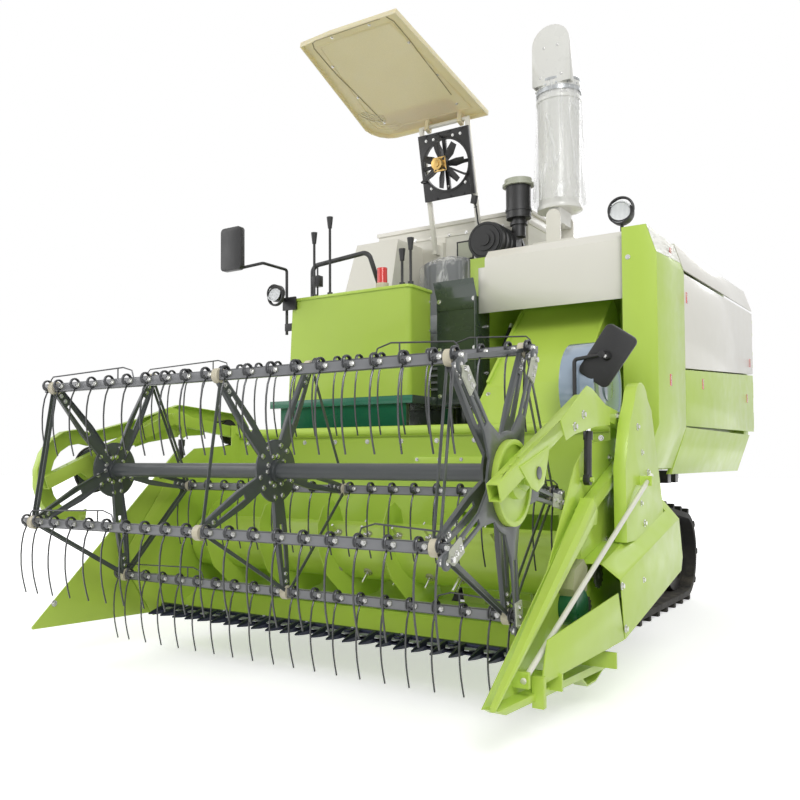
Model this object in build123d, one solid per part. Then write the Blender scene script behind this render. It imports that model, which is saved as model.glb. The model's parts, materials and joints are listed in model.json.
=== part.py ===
from build123d import *
from math import atan2, cos, degrees, hypot, pi, radians, sin
import os

# A combine harvester on rubber tracks, with a spring-tine reel, a cutter bar, an
# auger, a feeder house, a thresher with a grain tank beside it, an operator's
# station under a canopy and an unloading tube that folds up.
# Millimetres. +X is the machine's left side, -Y is forward, +Z is up. While the
# pieces are made, Y = 0 is the reel's axis and Z = 0 is the ground. At the end
# all of them move together, so that the origin is under the middle of the machine.

# ---- clearances and sheets
gap = 0.3
clear = 8.0
sheet = 4.0

# ---- header
cutHalf = 985.0
endOut = cutHalf + sheet
shieldX = cutHalf + 145
knifeY = 340.0
knifeZ = 178.0
panZ = 160.0
backY = 955.0
backTop = 985.0
augerY, augerZ = 705.0, 470.0
augerR, flightR = 125.0, 215.0
augerShaftR, bearingR, bearingWide = 18.0, 42.0, 16.0
pipeR = 26.0
feederX0, feederX1 = 300.0, 760.0
tipY, tipZ = -340.0, 180.0
liftY, liftZ, liftPin = 1850.0, 1450.0, 20.0

# ---- reel
reelZ = 830.0
reelR = 471.0
reelStart = -26.0
batCount = 5
batHalf = cutHalf - 35
batSide = 26.0
tineLong = 280.0
tineThick = 7.0
coilR, coilWide = 17.0, 22.0
reelTubeR = 30.0
spiderX = (85 - cutHalf, 0.0, cutHalf - 85)
crankForward, crankDown = 62.0, 30.0
ringX = cutHalf - 23
armX = cutHalf + 29
armWide, armHigh = 38.0, 56.0
armPivotY, armPivotZ = 930.0, 1020.0

# ---- tracks
trackIn, trackOut = 350.0, 750.0
beltThick = 32.0
lugHigh = 28.0
lugLong = 34.0
lugPitch = 90.0
sprocketY, sprocketZ, sprocketR = 1690.0, 400.0, 165.0
idlerY, idlerR = 3180.0, 225.0
rollerR = 90.0
rollerYs = (1930.0, 2160.0, 2390.0, 2620.0, 2850.0)
topRollerY, topRollerZ, topRollerR = 2350.0, 560.0, 55.0

# ---- body
bodyX = 1040.0
bodyFront, bodyRear = 1420.0, 3790.0
bodyTop = 1930.0
bodyBottom = 800.0
creaseZ = 1030.0
borderZ0, borderZ1 = 1315.0, 1430.0
roofEdgeZ = 1790.0
doorThick = 25.0
doorFront = 1930.0
innerX = 60.0
coverLow = 1610.0


def block(x0, x1, y0, y1, z0, z1):
    return Pos((x0 + x1) / 2, (y0 + y1) / 2, (z0 + z1) / 2) * Box(x1 - x0, y1 - y0, z1 - z0)


def sideShape(points, x0, x1):
    """An outline in (y, z), from x0 to x1."""
    face = make_face(Plane.YZ.offset(x0) * Polyline(*points, close=True))
    return extrude(face, x1 - x0, dir=(1, 0, 0))


def frontShape(points, y0, y1):
    """An outline in (x, z), from y0 to y1."""
    wire = Polyline(*[(x, y0, z) for x, z in points], close=True)
    return extrude(make_face(wire), y1 - y0, dir=(0, 1, 0))


def topShape(points, z0, z1):
    """An outline in (x, y), from z0 to z1."""
    wire = Polyline(*[(x, y, z0) for x, y in points], close=True)
    return extrude(make_face(wire), z1 - z0, dir=(0, 0, 1))


def rod(start, end, radius):
    start, end = Vector(*start), Vector(*end)
    along = end - start
    base = Plane(origin=start, z_dir=along.normalized())
    return base * Cylinder(radius, along.length, align=(Align.CENTER, Align.CENTER, Align.MIN))


def rodX(x0, x1, y, z, radius):
    return rod((x0, y, z), (x1, y, z), radius)


def bar(start, end, wide, high):
    """A square-cut bar between two points, wide across X or the level, high across the rest."""
    start, end = Vector(*start), Vector(*end)
    along = (end - start).normalized()
    side = Vector(1, 0, 0) if abs(along.X) < 0.9 else Vector(0, 1, 0)
    across = (side - along * side.dot(along)).normalized()
    frame = Plane(origin=start, x_dir=across, z_dir=along)
    return frame * Box(wide, high, (end - start).length, align=(Align.CENTER, Align.CENTER, Align.MIN))


def pipe(points, radius, bend):
    """A round bar along straight runs joined by equal bends."""
    path = FilletPolyline(*points, radius=bend)
    start = Plane(origin=path @ 0, z_dir=path % 0)
    return sweep(start * Circle(radius), path=path)


def strip(points, thick):
    """The outline of a folded sheet: points along one face, the sheet to the left of them."""
    normals = []
    for (a, b), (c, d) in zip(points, points[1:]):
        length = hypot(c - a, d - b)
        normals.append((-(d - b) / length, (c - a) / length))
    far = []
    for i, (a, b) in enumerate(points):
        before, after = normals[max(i - 1, 0)], normals[min(i, len(normals) - 1)]
        scale = thick / (1 + before[0] * after[0] + before[1] * after[1])
        far.append((a + (before[0] + after[0]) * scale, b + (before[1] + after[1]) * scale))
    return list(points) + far[::-1]


def joined(pieces):
    whole = pieces[0]
    for piece in pieces[1:]:
        whole = whole + piece
    return whole


def apart(pieces):
    return Compound([solid for piece in pieces for solid in piece.solids()])


parts = {}


# ---- tracks: the loop is the outer tangent of its wheels
def loopRuns(wheels, offset):
    """Straight runs and arcs round wheels (y, z, radius), as (kind, data, length)."""
    runs, tangents = [], []
    count = len(wheels)
    for i in range(count):
        y1, z1, r1 = wheels[i]
        y2, z2, r2 = wheels[(i + 1) % count]
        r1, r2 = r1 + offset, r2 + offset
        length = hypot(y2 - y1, z2 - z1)
        uy, uz = (y2 - y1) / length, (z2 - z1) / length
        s = (r1 - r2) / length
        c = (1 - s * s) ** 0.5
        ny, nz = uy * s + uz * c, uz * s - uy * c
        tangents.append((ny, nz, (y1 + ny * r1, z1 + nz * r1), (y2 + ny * r2, z2 + nz * r2)))
    for i in range(count):
        ny, nz, start, end = tangents[i]
        runs.append(("line", (start, end), hypot(end[0] - start[0], end[1] - start[1])))
        my, mz = tangents[(i + 1) % count][:2]
        y, z, r = wheels[(i + 1) % count]
        a0 = atan2(nz, ny)
        turn = (atan2(mz, my) - a0) % (2 * pi)
        runs.append(("arc", (y, z, r + offset, a0, turn), (r + offset) * turn))
    return runs


def loopFace(runs):
    edges = []
    for kind, data, length in runs:
        if kind == "line":
            edges.append(Line(*[(0, y, z) for y, z in data]))
        else:
            y, z, r, a0, turn = data
            spots = [(0, y + r * cos(a), z + r * sin(a)) for a in (a0, a0 + turn / 2, a0 + turn)]
            edges.append(ThreePointArc(*spots))
    return make_face(edges)


def loopSpot(runs, along):
    """Place and outward direction at a length along the loop."""
    for kind, data, length in runs:
        if along <= length:
            if kind == "line":
                (y1, z1), (y2, z2) = data
                t = along / length
                return y1 + (y2 - y1) * t, z1 + (z2 - z1) * t, degrees(atan2(-(y2 - y1), z2 - z1))
            y, z, r, a0, turn = data
            a = a0 + turn * along / length
            return y + r * cos(a), z + r * sin(a), degrees(a)
        along -= length
    raise ValueError("past the end of the loop")


wheelZ = beltThick + lugHigh
trackWheels = (
    (rollerYs[0], wheelZ + rollerR, rollerR),
    (idlerY, wheelZ + idlerR, idlerR),
    (topRollerY, topRollerZ, topRollerR),
    (sprocketY, sprocketZ, sprocketR),
)


def trackBelt():
    inner = loopRuns(trackWheels, gap)
    outer = loopRuns(trackWheels, beltThick)
    total = sum(length for kind, data, length in outer)
    middle = (trackIn + trackOut) / 2
    count = 2 * round(total / lugPitch / 2)
    ring = extrude(loopFace(outer) - loopFace(inner), trackOut - trackIn, dir=(1, 0, 0))
    belt = Pos(trackIn, 0, 0) * ring
    sunk = 4.0
    for i in range(count):
        y, z, turn = loopSpot(outer, (i + 0.5) * total / count)
        x = trackIn if i % 2 else middle
        lug = Pos((lugHigh - sunk) / 2, 0, 0) * Box(lugHigh + sunk, lugLong, trackOut - middle)
        outward = (0, cos(radians(turn)), sin(radians(turn)))
        half = Plane(origin=(x + (trackOut - middle) / 2, y, z), x_dir=outward, z_dir=(1, 0, 0))
        belt = belt + half * lug
    return belt


belt = trackBelt()
parts["track_left"] = belt
parts["track_right"] = mirror(belt, about=Plane.YZ)

# ---- wheels inside the tracks, each with its axle to the track beam
beamX0, beamX1 = 505.0, 595.0
wheelWide = 60.0


def runningGear():
    pieces = []
    rollers = [(y, wheelZ + rollerR, rollerR) for y in rollerYs[1:]]
    for y, z, r in (*trackWheels[:1], *rollers, *trackWheels[1:]):
        for x0 in (trackIn + 70, trackOut - 70 - wheelWide):
            wheel = rodX(x0, x0 + wheelWide, y, z, r)
            for k in range(6 if r > 120 else 0):
                a = radians(60 * k)
                hole = (y + 0.62 * r * cos(a), z + 0.62 * r * sin(a))
                wheel = wheel - rodX(x0 - 1, x0 + wheelWide + 1, *hole, 0.2 * r)
            pieces.append(wheel)
        pieces.append(rodX(trackIn + 60, trackOut - 60, y, z, 24))
    return apart([joined(pieces[i:i + 3]) for i in range(0, len(pieces), 3)])


gear = runningGear()
parts["track_wheels"] = apart([gear, mirror(gear, about=Plane.YZ)])

# ---- chassis
towY, towR = 3700.0, 13.0
ramLow = (1800.0, 380.0)
ramHigh = (1450.0, 530.0)
ramX = 320.0
ramPin = 12.0
railX = 250.0
railHigh = 120.0
railZ = 700.0
beamTop = 400.0


beamYs = (1760.0, 2150.0, 3000.0, 3400.0, 3600.0)


def chassis():
    pieces = []
    hubs = []
    for side in (-1, 1):
        rail = (side * railX - 40, side * railX + 40, bodyFront + 60, bodyRear - 150)
        pieces.append(block(*rail, railZ, railZ + railHigh))
        x0, x1 = sorted((side * beamX0, side * beamX1))
        pieces.append(block(x0, x1, sprocketY + 60, idlerY + 60, 2 * rollerR + wheelZ + 20, beamTop))
        for y in rollerYs:
            pieces.append(block(x0, x1, y - 35, y + 35, wheelZ + rollerR - 40, beamTop - 40))
            hubs.append((side, y, wheelZ + rollerR))
        pieces.append(block(x0, x1, idlerY - 60, idlerY + 60, wheelZ + idlerR - 45, beamTop))
        pieces.append(block(x0, x1, sprocketY - 50, sprocketY + 120, beamTop - 60, sprocketZ + 50))
        pieces.append(block(x0, x1, topRollerY - 30, topRollerY + 30, beamTop - 20, topRollerZ + 40))
        hubs.append((side, idlerY, wheelZ + idlerR))
        hubs.append((side, sprocketY, sprocketZ))
        hubs.append((side, topRollerY, topRollerZ))
        for y in (2040, 2735):
            a, b = sorted((side * (railX - 20), side * beamX1))
            pieces.append(block(a, b, y - 45, y + 45, beamTop - 90, beamTop - 10))
            stem = (side * railX - 35, side * railX + 35, y - 45, y + 45)
            pieces.append(block(*stem, beamTop - 90, railZ + 20))
    for y in beamYs:
        pieces.append(block(-950, 600, y - 40, y + 40, railZ + 20, railZ + 100))
    frame = joined(pieces)
    for z in (740, 782):
        frame = frame + block(-45, 45, beamYs[-1] + 20, towY + 35, z, z + 12)
    frame = frame - rod((0, towY, 700), (0, towY, 830), towR)
    frame = frame + block(railX - 25, railX + 35, ramLow[0] - 30, ramLow[0] + 30, ramLow[1] - 35, railZ + 5)
    frame = frame + rodX(railX, ramX + 27, *ramLow, ramPin)
    for side, y, z in hubs:
        x0, x1 = sorted((side * (beamX0 - 5), side * (beamX1 + 5)))
        frame = frame - rodX(x0, x1, y, z, 24 + gap)
    return frame


parts["chassis_frame"] = chassis()

# ---- thresher body with its roof, and the recess that takes the feeder house
frameX = bodyX - doorThick - 10
recessRear = 2120.0
recessTop = 1740.0


hingeX, hingeY, hingePin = bodyX - 12, bodyRear + 12, 6.0
doorHinges = (1130.0, 1330.0, 1530.0, 1740.0)


def roofZ(y):
    """Height of the roof's top face, which rises to the rear."""
    return bodyTop + (y - bodyFront - 75) * 60 / (bodyRear - bodyFront - 75)


def thresher():
    outline = [
        (innerX, railZ + railHigh + gap), (frameX - 130, railZ + railHigh + gap), (frameX - 130, 1000),
        (frameX - 60, 1000), (frameX - 60, 1780), (frameX - 130, bodyTop + 90), (innerX, bodyTop + 90),
    ]
    front, rear = bodyFront + 170, bodyRear - 120
    body = frontShape(outline, front, rear)
    under = sheet + gap
    side = [(front, railZ), (rear, railZ), (rear, roofZ(rear) - under), (front, roofZ(front) - under)]
    body = body & sideShape(side, 0, bodyX)
    body = body - block(feederX0 - 150, frameX, bodyFront, recessRear, railZ, recessTop)
    body = body - block(888 - gap, frameX, bodyFront, doorFront, recessTop - 1, bodyTop + 100)
    post = block(frameX - 65, frameX - 2, rear - 20, hingeY + 6, creaseZ - 20, 1780)
    for z in doorHinges:
        for z0, z1 in ((z - 52, z - 31), (z + 31, z + 52)):
            post = post + block(frameX - 10, hingeX, hingeY - 6, hingeY + 6, z0, z1)
            post = post + rod((hingeX, hingeY, z0), (hingeX, hingeY, z1), 11)
        post = post + rod((hingeX, hingeY, z - 40), (hingeX, hingeY, z + 40), hingePin)
    for x0 in (feederX0 - 28, feederX1 + 12):
        post = post + block(x0, x0 + 16, liftY - 60, liftY + 60, liftZ - 35, recessTop + 1)
        post = post - rodX(x0 - 1, x0 + 17, liftY, liftZ, liftPin + 0.05)
    return body + post


parts["thresher_body"] = thresher()
skinX = frameX - 60

coverRun = [
    (bodyFront + 30, coverLow), (bodyFront + 30, bodyTop - 45), (bodyFront + 75, bodyTop),
    (bodyRear, roofZ(bodyRear)),
]
coverCut = [(bodyFront, bodyTop - 110), (bodyFront, bodyTop + 90), (bodyFront + 300, bodyTop + 90)]
cover = sideShape(strip(coverRun, -sheet), 170, 884) - sideShape(coverCut, 150, 205)
edgeRun = (0, bodyRear - doorFront, roofZ(bodyRear) - roofZ(doorFront))
edge = [(880, 0), (bodyX - 45, 0), (bodyX, -138), (bodyX - 8, -138), (bodyX - 50, -sheet), (880, -sheet)]
edgeFace = make_face(Polyline(*[(x, doorFront, roofZ(doorFront) + z) for x, z in edge], close=True))
parts["roof_cover"] = cover + extrude(edgeFace, Vector(*edgeRun).length, dir=edgeRun)


# ---- corner column: a folded post between the cover and the doors
def column():
    outline = [
        (888, 830), (bodyX - 70, 830), (bodyX, creaseZ),
        (bodyX, roofEdgeZ), (bodyX - 45, bodyTop), (888, bodyTop),
    ]
    post = frontShape(outline, bodyFront, doorFront - 6)
    inner = [
        (888 - 1, 830 + sheet), (bodyX - 70 - sheet, 830 + sheet), (bodyX - sheet, creaseZ),
        (bodyX - sheet, roofEdgeZ), (bodyX - 45 - sheet, bodyTop - sheet), (888 - 1, bodyTop - sheet),
    ]
    return post - frontShape(inner, bodyFront + sheet, doorFront)


parts["corner_column"] = column()


# ---- side panels
def panel(y0, y1, low, high, thick=doorThick):
    """A flat side panel on the body's side, low and high each a (z at y0, z at y1)."""
    return sideShape([(y0, low[0]), (y1, low[1]), (y1, high[1]), (y0, high[0])], bodyX - thick, bodyX)


def hingedPanel(y0, y1, low, high, hinges):
    door = panel(y0, y1, low, high)
    for z in hinges:
        door = door + block(bodyX - doorThick, bodyX - 2, bodyRear - 20, hingeY, z - 30, z + 30)
        door = door + rod((hingeX, hingeY, z - 30), (hingeX, hingeY, z + 30), 11)
        door = door - rod((hingeX, hingeY, z - 31), (hingeX, hingeY, z + 31), hingePin + 0.05)
    return door


upperEdges = (borderZ0 + 4, borderZ1 + 4), (roofEdgeZ - 5, roofEdgeZ + 45)
lowerEdges = (creaseZ + 6, creaseZ + 26), (borderZ0 - 4, borderZ1 - 4)
parts["door_upper"] = hingedPanel(doorFront, bodyRear, *upperEdges, doorHinges[2:])
parts["door_lower"] = hingedPanel(doorFront, bodyRear, *lowerEdges, doorHinges[:2])
skirtIn = frameX - 60 + gap
skirt = [
    (bodyX, creaseZ), (bodyX - 75, bodyBottom), (bodyX - 100, bodyBottom), (bodyX - 30, creaseZ - 15),
    (skirtIn, creaseZ - 15), (skirtIn, creaseZ),
]
parts["side_skirt"] = frontShape(skirt, doorFront, bodyRear - 160)


# ---- belt drives behind the doors
drivePulleys = ((2150, 1250, 150), (2600, 1480, 120), (2950, 1180, 95), (3450, 1350, 140))


def sideDrives():
    pieces = []
    for y, z, r in drivePulleys:
        pieces.append(rodX(skinX + gap, skinX + 38, y, z, r))
    return apart(pieces)


parts["side_drives"] = sideDrives()

# ---- straw hood at the rear, open below
hoodFront = bodyRear - 120 + gap
hoodRear = bodyRear - 10
strawOut = [(hoodFront, 1500), (hoodRear, 1400), (hoodRear, 1040), (hoodFront, 1040)]
strawIn = [(hoodFront - 1, 1490), (hoodRear - sheet, 1396), (hoodRear - sheet, 1039), (hoodFront - 1, 1039)]
straw = sideShape(strawOut, 120, 860) - sideShape(strawIn, 120 + sheet, 860 - sheet)
parts["straw_hood"] = straw

# ---- grain tank, engine, radiator housing
tankX0, tankX1 = -1000.0, 50.0
tankFront, tankRear = 2420.0, 3480.0
tankLow, tankTop = 1000.0, 2370.0
wall = 12.0
lidHingeX = (-800.0, -150.0)
lidY, lidZ, lidPin = tankRear + 14, tankTop + 14, 6.0
legHalf = 30.0
beamTopZ = railZ + 100.0
postX0, postX1 = -530.0, -220.0


def leg(x, y, top):
    """A square foot on a cross member of the chassis."""
    return block(x - legHalf, x + legHalf, y - legHalf, y + legHalf, beamTopZ + gap, top)


def grainTank():
    shell = block(tankX0, tankX1, tankFront, tankRear, tankLow, tankTop)
    for x in (tankX0 + 100, tankX1 - 150):
        for y in (beamYs[2], beamYs[3]):
            shell = shell + leg(x, y, tankLow + 1)
    for z0, z1 in ((tankTop - 70, tankTop - 40), (tankTop - 420, tankTop - 400)):
        ledge = block(tankX0 - 7, tankX1 + 7, tankFront - 7, tankRear + 7, z0, z1)
        shell = shell + ledge
    for x in (postX0, postX1):
        shell = shell + block(x - 30, x + 30, tankFront - 7, tankFront + 1, tankTop - 420, tankTop - 40)
    inside = (tankX0 + wall, tankX1 - wall, tankFront + wall, tankRear - wall)
    shell = shell - block(*inside, tankLow + wall, tankTop + 10)
    for x in lidHingeX:
        for side in (-1, 1):
            x0, x1 = sorted((x + side * 31, x + side * 46))
            shell = shell + block(x0, x1, tankRear - 1, lidY + 11, tankTop - 40, tankTop - 5)
            shell = shell + block(x0, x1, lidY - 11, lidY + 11, tankTop - 6, lidZ)
            shell = shell + rodX(x0, x1, lidY, lidZ, 11)
        shell = shell + rodX(x - 46, x + 46, lidY, lidZ, lidPin)
    return shell


def tankLid():
    lid = block(tankX0 - 10, tankX1 + 10, tankFront - 10, tankRear, tankTop + gap, tankTop + 25)
    for x in (tankX0 + 120, tankX0 + 420, tankX1 - 460, tankX1 - 160):
        lid = lid + block(x, x + 40, tankFront + 60, tankRear - 90, tankTop + 24, tankTop + 34)
    for x in lidHingeX:
        lid = lid + block(x - 30, x + 30, tankRear - 20, lidY, tankTop + gap, tankTop + 25)
        lid = lid + rodX(x - 30, x + 30, lidY, lidZ, 11)
        lid = lid - rodX(x - 31, x + 31, lidY, lidZ, lidPin + 0.05)
    return lid


parts["grain_tank"] = grainTank()
parts["tank_lid"] = tankLid()
engineX0, engineX1 = -780.0, -120.0
engineFront, engineRear, engineTop = 1890.0, tankFront - 8, 1600.0
parts["engine_block"] = block(
    engineX0 + 60, engineX1 - 60, engineFront + 40, engineRear - 42, railZ + railHigh + gap, engineTop - 200)


def engineCover():
    cover = block(engineX0, engineX1, engineFront, engineRear, railZ + railHigh + gap, engineTop)
    cover = cover - block(
        engineX0 + sheet, engineX1 - sheet, engineFront + sheet, engineRear - sheet, railZ, engineTop - sheet)
    for i in range(6):
        z = engineTop - 330 + i * 40
        slat = [(engineFront - 12, z), (engineFront + 1, z + 16), (engineFront + 1, z)]
        cover = cover + sideShape(slat, engineX0 + 90, engineX1 - 90)
    return cover


parts["engine_cover"] = engineCover()

# ---- radiator housing: a cream box whose top leans in, with a louvred screen on its right
radX0, radX1 = -1000.0, -790.0
radFront, radRear, radLow, radTop = 1900.0, engineRear, 1000.0, 1760.0
crownTop, crownX1 = 2245.0, -640.0


def level(x0, x1, y0, y1, z):
    return make_face(Polyline((x0, y0, z), (x1, y0, z), (x1, y1, z), (x0, y1, z), close=True))


def radiatorHousing():
    box = block(radX0, radX1, radFront, radRear, radLow, radTop)
    low = level(radX0, crownX1, radFront + 25, radRear, radTop - 1)
    high = level(radX0 + 45, crownX1 - 15, radFront + 175, radRear - 25, crownTop)
    box = box + loft([low, high], ruled=True) + leg(radX0 + 95, beamYs[1], radLow + 1)
    box = box - block(radX0 - 1, radX0 + 14, radFront + 50, radRear - 50, radLow + 120, radTop - 60)
    for i in range(15):
        z = radLow + 135 + i * 38
        box = box + block(radX0 + 2, radX0 + 15, radFront + 49, radRear - 49, z, z + 14)
    return box


parts["radiator_housing"] = radiatorHousing()

# ---- operator's station
deckZ = 1195.0
deckFront, deckRear = 1180.0, 1885.0
deck = block(-960, -64, deckFront, deckRear, deckZ - 40, deckZ)
deck = deck + block(-900, -110, deckFront + 20, deckFront + 60, 985, deckZ - 39)
for x in (-880, -150):
    deck = deck + leg(x, beamYs[0], deckZ - 39)
for z in (560, 800):
    deck = deck + block(-990, -955, deckFront + 300, deckFront + 330, z, deckZ - 1)
    deck = deck + block(-990, -955, deckFront + 580, deckFront + 610, z, deckZ - 1)
    deck = deck + block(-1010, -955, deckFront + 300, deckFront + 610, z, z + 25)
parts["operator_deck"] = deck
consoleX0, consoleX1 = -800.0, -80.0
consoleY0, consoleY1 = 1180.0, 1430.0
consoleTop = 1750.0
topOut = 8.0


def consoleBox():
    low = deckZ + gap
    front = [(consoleX0, consoleTop), (consoleX1, consoleTop), (consoleX1, low), (consoleX0 - 30, low)]
    box = frontShape(front, consoleY0, consoleY1)
    box = fillet(box.edges().filter_by(Axis.Z).sort_by(Axis.X)[-2:], 32)
    around = (consoleX0 - topOut, consoleX1 + topOut, consoleY0 - topOut, consoleY1 + topOut)
    top = block(*around, consoleTop - 14, consoleTop)
    top = fillet(top.edges().filter_by(Axis.Z).sort_by(Axis.X)[-2:], 34)
    tray = (consoleX0 + 330, consoleX1 - 70, consoleY0 + 20, consoleY0 + 80)
    tray = block(*tray, consoleTop - 9, consoleTop + 1)
    return box + top - tray


parts["console"] = consoleBox()
shieldBoxX0, shieldBoxX1 = consoleX1 + 20, 165.0
sideBox = block(shieldBoxX0, shieldBoxX1, 1440, bodyFront + 170 - gap, deckZ - 40, 1700)
lip = [(1440, 1640), (1440, 1702), (1402, 1788)]
parts["side_shield"] = sideBox + sideShape(strip(lip, sheet), shieldBoxX0, shieldBoxX1) + block(
    shieldBoxX1 - sheet, shieldBoxX1, 1415, 1442, deckZ - 40, 1700)

# ---- seat: cushion and back as rounded solids
seatX0, seatX1 = -620.0, -220.0
seatFront, seatRear = 1930.0, 2340.0
seatTop = 2140.0


def seatSolid():
    cushion = block(seatX0, seatX1, seatFront, seatRear, engineTop + gap, engineTop + 105)
    cushion = fillet(cushion.edges().group_by(Axis.Z)[-1], 30)
    back = sideShape(
        [(seatRear - 75, engineTop + 90), (seatRear - 62, engineTop + 300), (seatRear - 25, seatTop - 12),
         (seatRear - 5, seatTop), (seatRear + 20, seatTop - 20), (seatRear + 15, engineTop + 90)],
        seatX0 + 15, seatX1 - 15)
    return cushion + back


parts["seat"] = seatSolid()

# ---- levers, beacon and handrail on the console
leverSpots = ((-735, 1290, 380), (-630, 1290, 450), (-180, 1290, 210), (-130, 1290, 260))  # x, y, height
levers = []
for x, y, high in leverSpots:
    z0, z1 = consoleTop + gap, consoleTop + high
    foot = (x, y, z0)
    knob = Pos(x, y, z1 - 62) * Cone(11, 18, 62, align=(Align.CENTER, Align.CENTER, Align.MIN))
    bellows = rod(foot, (x, y, z0 + 14), 24) + rod(foot, (x, y, z0 + 34), 15)
    levers.append(rod(foot, (x, y, z1 - 60), 7) + knob + bellows)
parts["control_levers"] = apart(levers)
beaconX, beaconY = -335.0, 1350.0
base = rod((beaconX, beaconY, consoleTop + gap), (beaconX, beaconY, consoleTop + 58), 34)
parts["beacon"] = base + rod((beaconX, beaconY, consoleTop + 57), (beaconX, beaconY, consoleTop + 140), 27)
railTop = consoleTop + 210
railPath = [
    (consoleX0 + 12, 1350, consoleTop + gap), (consoleX0 + 12, 1350, railTop),
    (-420, 1350, railTop + 30), (-390, 1420, consoleTop + 50),
]
switchBox = block(consoleX0 + 22, consoleX0 + 68, 1330, 1370, consoleTop + 90, consoleTop + 150)
switchX = consoleX0 + 45
switchBox = switchBox + rod((switchX, 1350, consoleTop + gap), (switchX, 1350, consoleTop + 200), 5)
parts["handrail"] = pipe(railPath, 13, 40) + switchBox

# ---- air intake: a ribbed filter drum and the pre-cleaner on its neck
drumX, drumZ, drumR = -60.0, 2140.0, 115.0
drumFront, drumRear = 2050.0, 2380.0
cleanerX, cleanerY = 60.0, 2250.0


def airIntake():
    drum = rod((drumX, drumFront, drumZ), (drumX, drumRear, drumZ), drumR - 6)
    for y in range(0, 5):
        y0 = drumFront + 40 + y * 60
        drum = drum + rod((drumX, y0, drumZ), (drumX, y0 + 22, drumZ), drumR)
    for r, deep in ((90, 10), (62, 18), (34, 26)):
        drum = drum + rod((drumX, drumFront - deep, drumZ), (drumX, drumFront + 1, drumZ), r)
    drum = drum + block(drumX - 40, drumX + 40, drumRear - 10, tankFront - gap, drumZ - 40, drumZ + 40)
    stack = block(drumX - 40, cleanerX, cleanerY - 40, cleanerY + 40, drumZ - 40, drumZ + 60)
    rings = ((40, 150, 40), (110, 128, 50), (149, 340, 72), (190, 204, 76), (340, 352, 92), (352, 380, 80))
    for z0, z1, r in rings:
        stack = stack + rod((cleanerX, cleanerY, drumZ + z0), (cleanerX, cleanerY, drumZ + z1), r)
    return drum + stack


parts["air_intake"] = airIntake()

# ---- canopy posts, from brackets on the tank up to the hinge
canopyHingeY, canopyHingeZ = 2160.0, 2930.0
postSide, footHalf = 26.0, 60.0
postY = 2330.0
postBase = seatTop + footHalf


def posts():
    pieces = []
    for x in (postX0, postX1):
        plate = (x - 30, x + 30, postY + 44, tankFront - 7 - gap)
        foot = block(*plate, postBase - footHalf, postBase + footHalf)
        pieces.append(foot + block(x - 13, x + 13, postY - 12, postY + 45, postBase - 24, postBase + 40))
        pieces.append(bar((x, postY, postBase), (x, canopyHingeY, canopyHingeZ), postSide, postSide))
    pieces.append(rodX(postX0 - 13, postX1 + 13, canopyHingeY, canopyHingeZ, 13))
    return joined(pieces)


parts["canopy_posts"] = posts()
canopyTurn = 14.5


def tilted(shape):
    """Turns what is drawn level at the hinge up to the canopy's rest angle."""
    return Pos(0, canopyHingeY, canopyHingeZ) * Rot(-canopyTurn, 0, 0) * shape


# ---- canopy: a moulded shell with a turned-down rim, ribs at its cut corner and a raised rear
canopyX = -500.0
canopyFrontWide, canopyRearWide = 620.0, 780.0
canopyFront, canopyRear = -950.0, 50.0
shellLow, shellTop, shellThick = 20.0, 50.0, 5.0


def canopyOutline(inset):
    half0, half1 = canopyFrontWide / 2 - inset, canopyRearWide / 2 - inset
    front, rear = canopyFront + inset, canopyRear - inset
    corner = []
    for a in (8, 26, 45, 64, 82):
        r = 170.0
        corner.append((canopyX - half1 + r - r * sin(radians(a)), rear - r + r * cos(radians(a))))
    return [
        (canopyX - half0, front + 14), (canopyX - half0 * 0.34, front), (canopyX + half0, front + 6),
        (canopyX + half1, rear),
    ] + corner


def canopyShell():
    under = shellTop - shellThick
    shell = topShape(canopyOutline(0), shellLow, shellTop) - topShape(canopyOutline(6), shellLow - 1, under)
    trim = topShape(canopyOutline(70), under - 3, under + 1)
    shell = shell + (trim - topShape(canopyOutline(84), under - 4, under + 0.5))
    cornerX, cornerY = canopyX - canopyRearWide / 2 + 170, canopyRear - 170
    for r in (60, 90, 120):
        angles = [radians(a) for a in (-40, -5, 25, 60, 95, 130)]
        run = [(cornerX - r * sin(a), cornerY + r * cos(a)) for a in angles]
        shell = shell + topShape(strip(run, 5), under - 4, under + 1)
    hump = [(-190, shellTop - 1), (-90, shellTop + 30), (20, shellTop + 30), (40, shellTop - 1)]
    shell = shell + sideShape(hump, canopyX - 240, canopyX + 240)
    for x in (postX0 + 45, postX1 - 45):
        shell = shell + block(x - 12, x + 12, -26, 26, -26, under + 1)
    return shell - rodX(postX0, postX1, 0, 0, 13.05)


parts["canopy"] = tilted(canopyShell())

# ---- fan between the posts: panel, seven curved blades, and its motor on three stays
fanZ = 2690.0
fanR = 150.0
bladeCount = 7
fanTurn = atan2(canopyHingeY - postY, canopyHingeZ - postBase)
fanY = postY + (fanZ - postBase) * (canopyHingeY - postY) / (canopyHingeZ - postBase)
fanAhead = (0, -cos(fanTurn), sin(fanTurn))
fanPlane = Plane(origin=((postX0 + postX1) / 2, fanY, fanZ), x_dir=(1, 0, 0), z_dir=fanAhead)
panelThick = 26.0
fanMid = postSide / 2 + gap + panelThick / 2
ringFace = panelThick / 2 + 7


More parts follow.
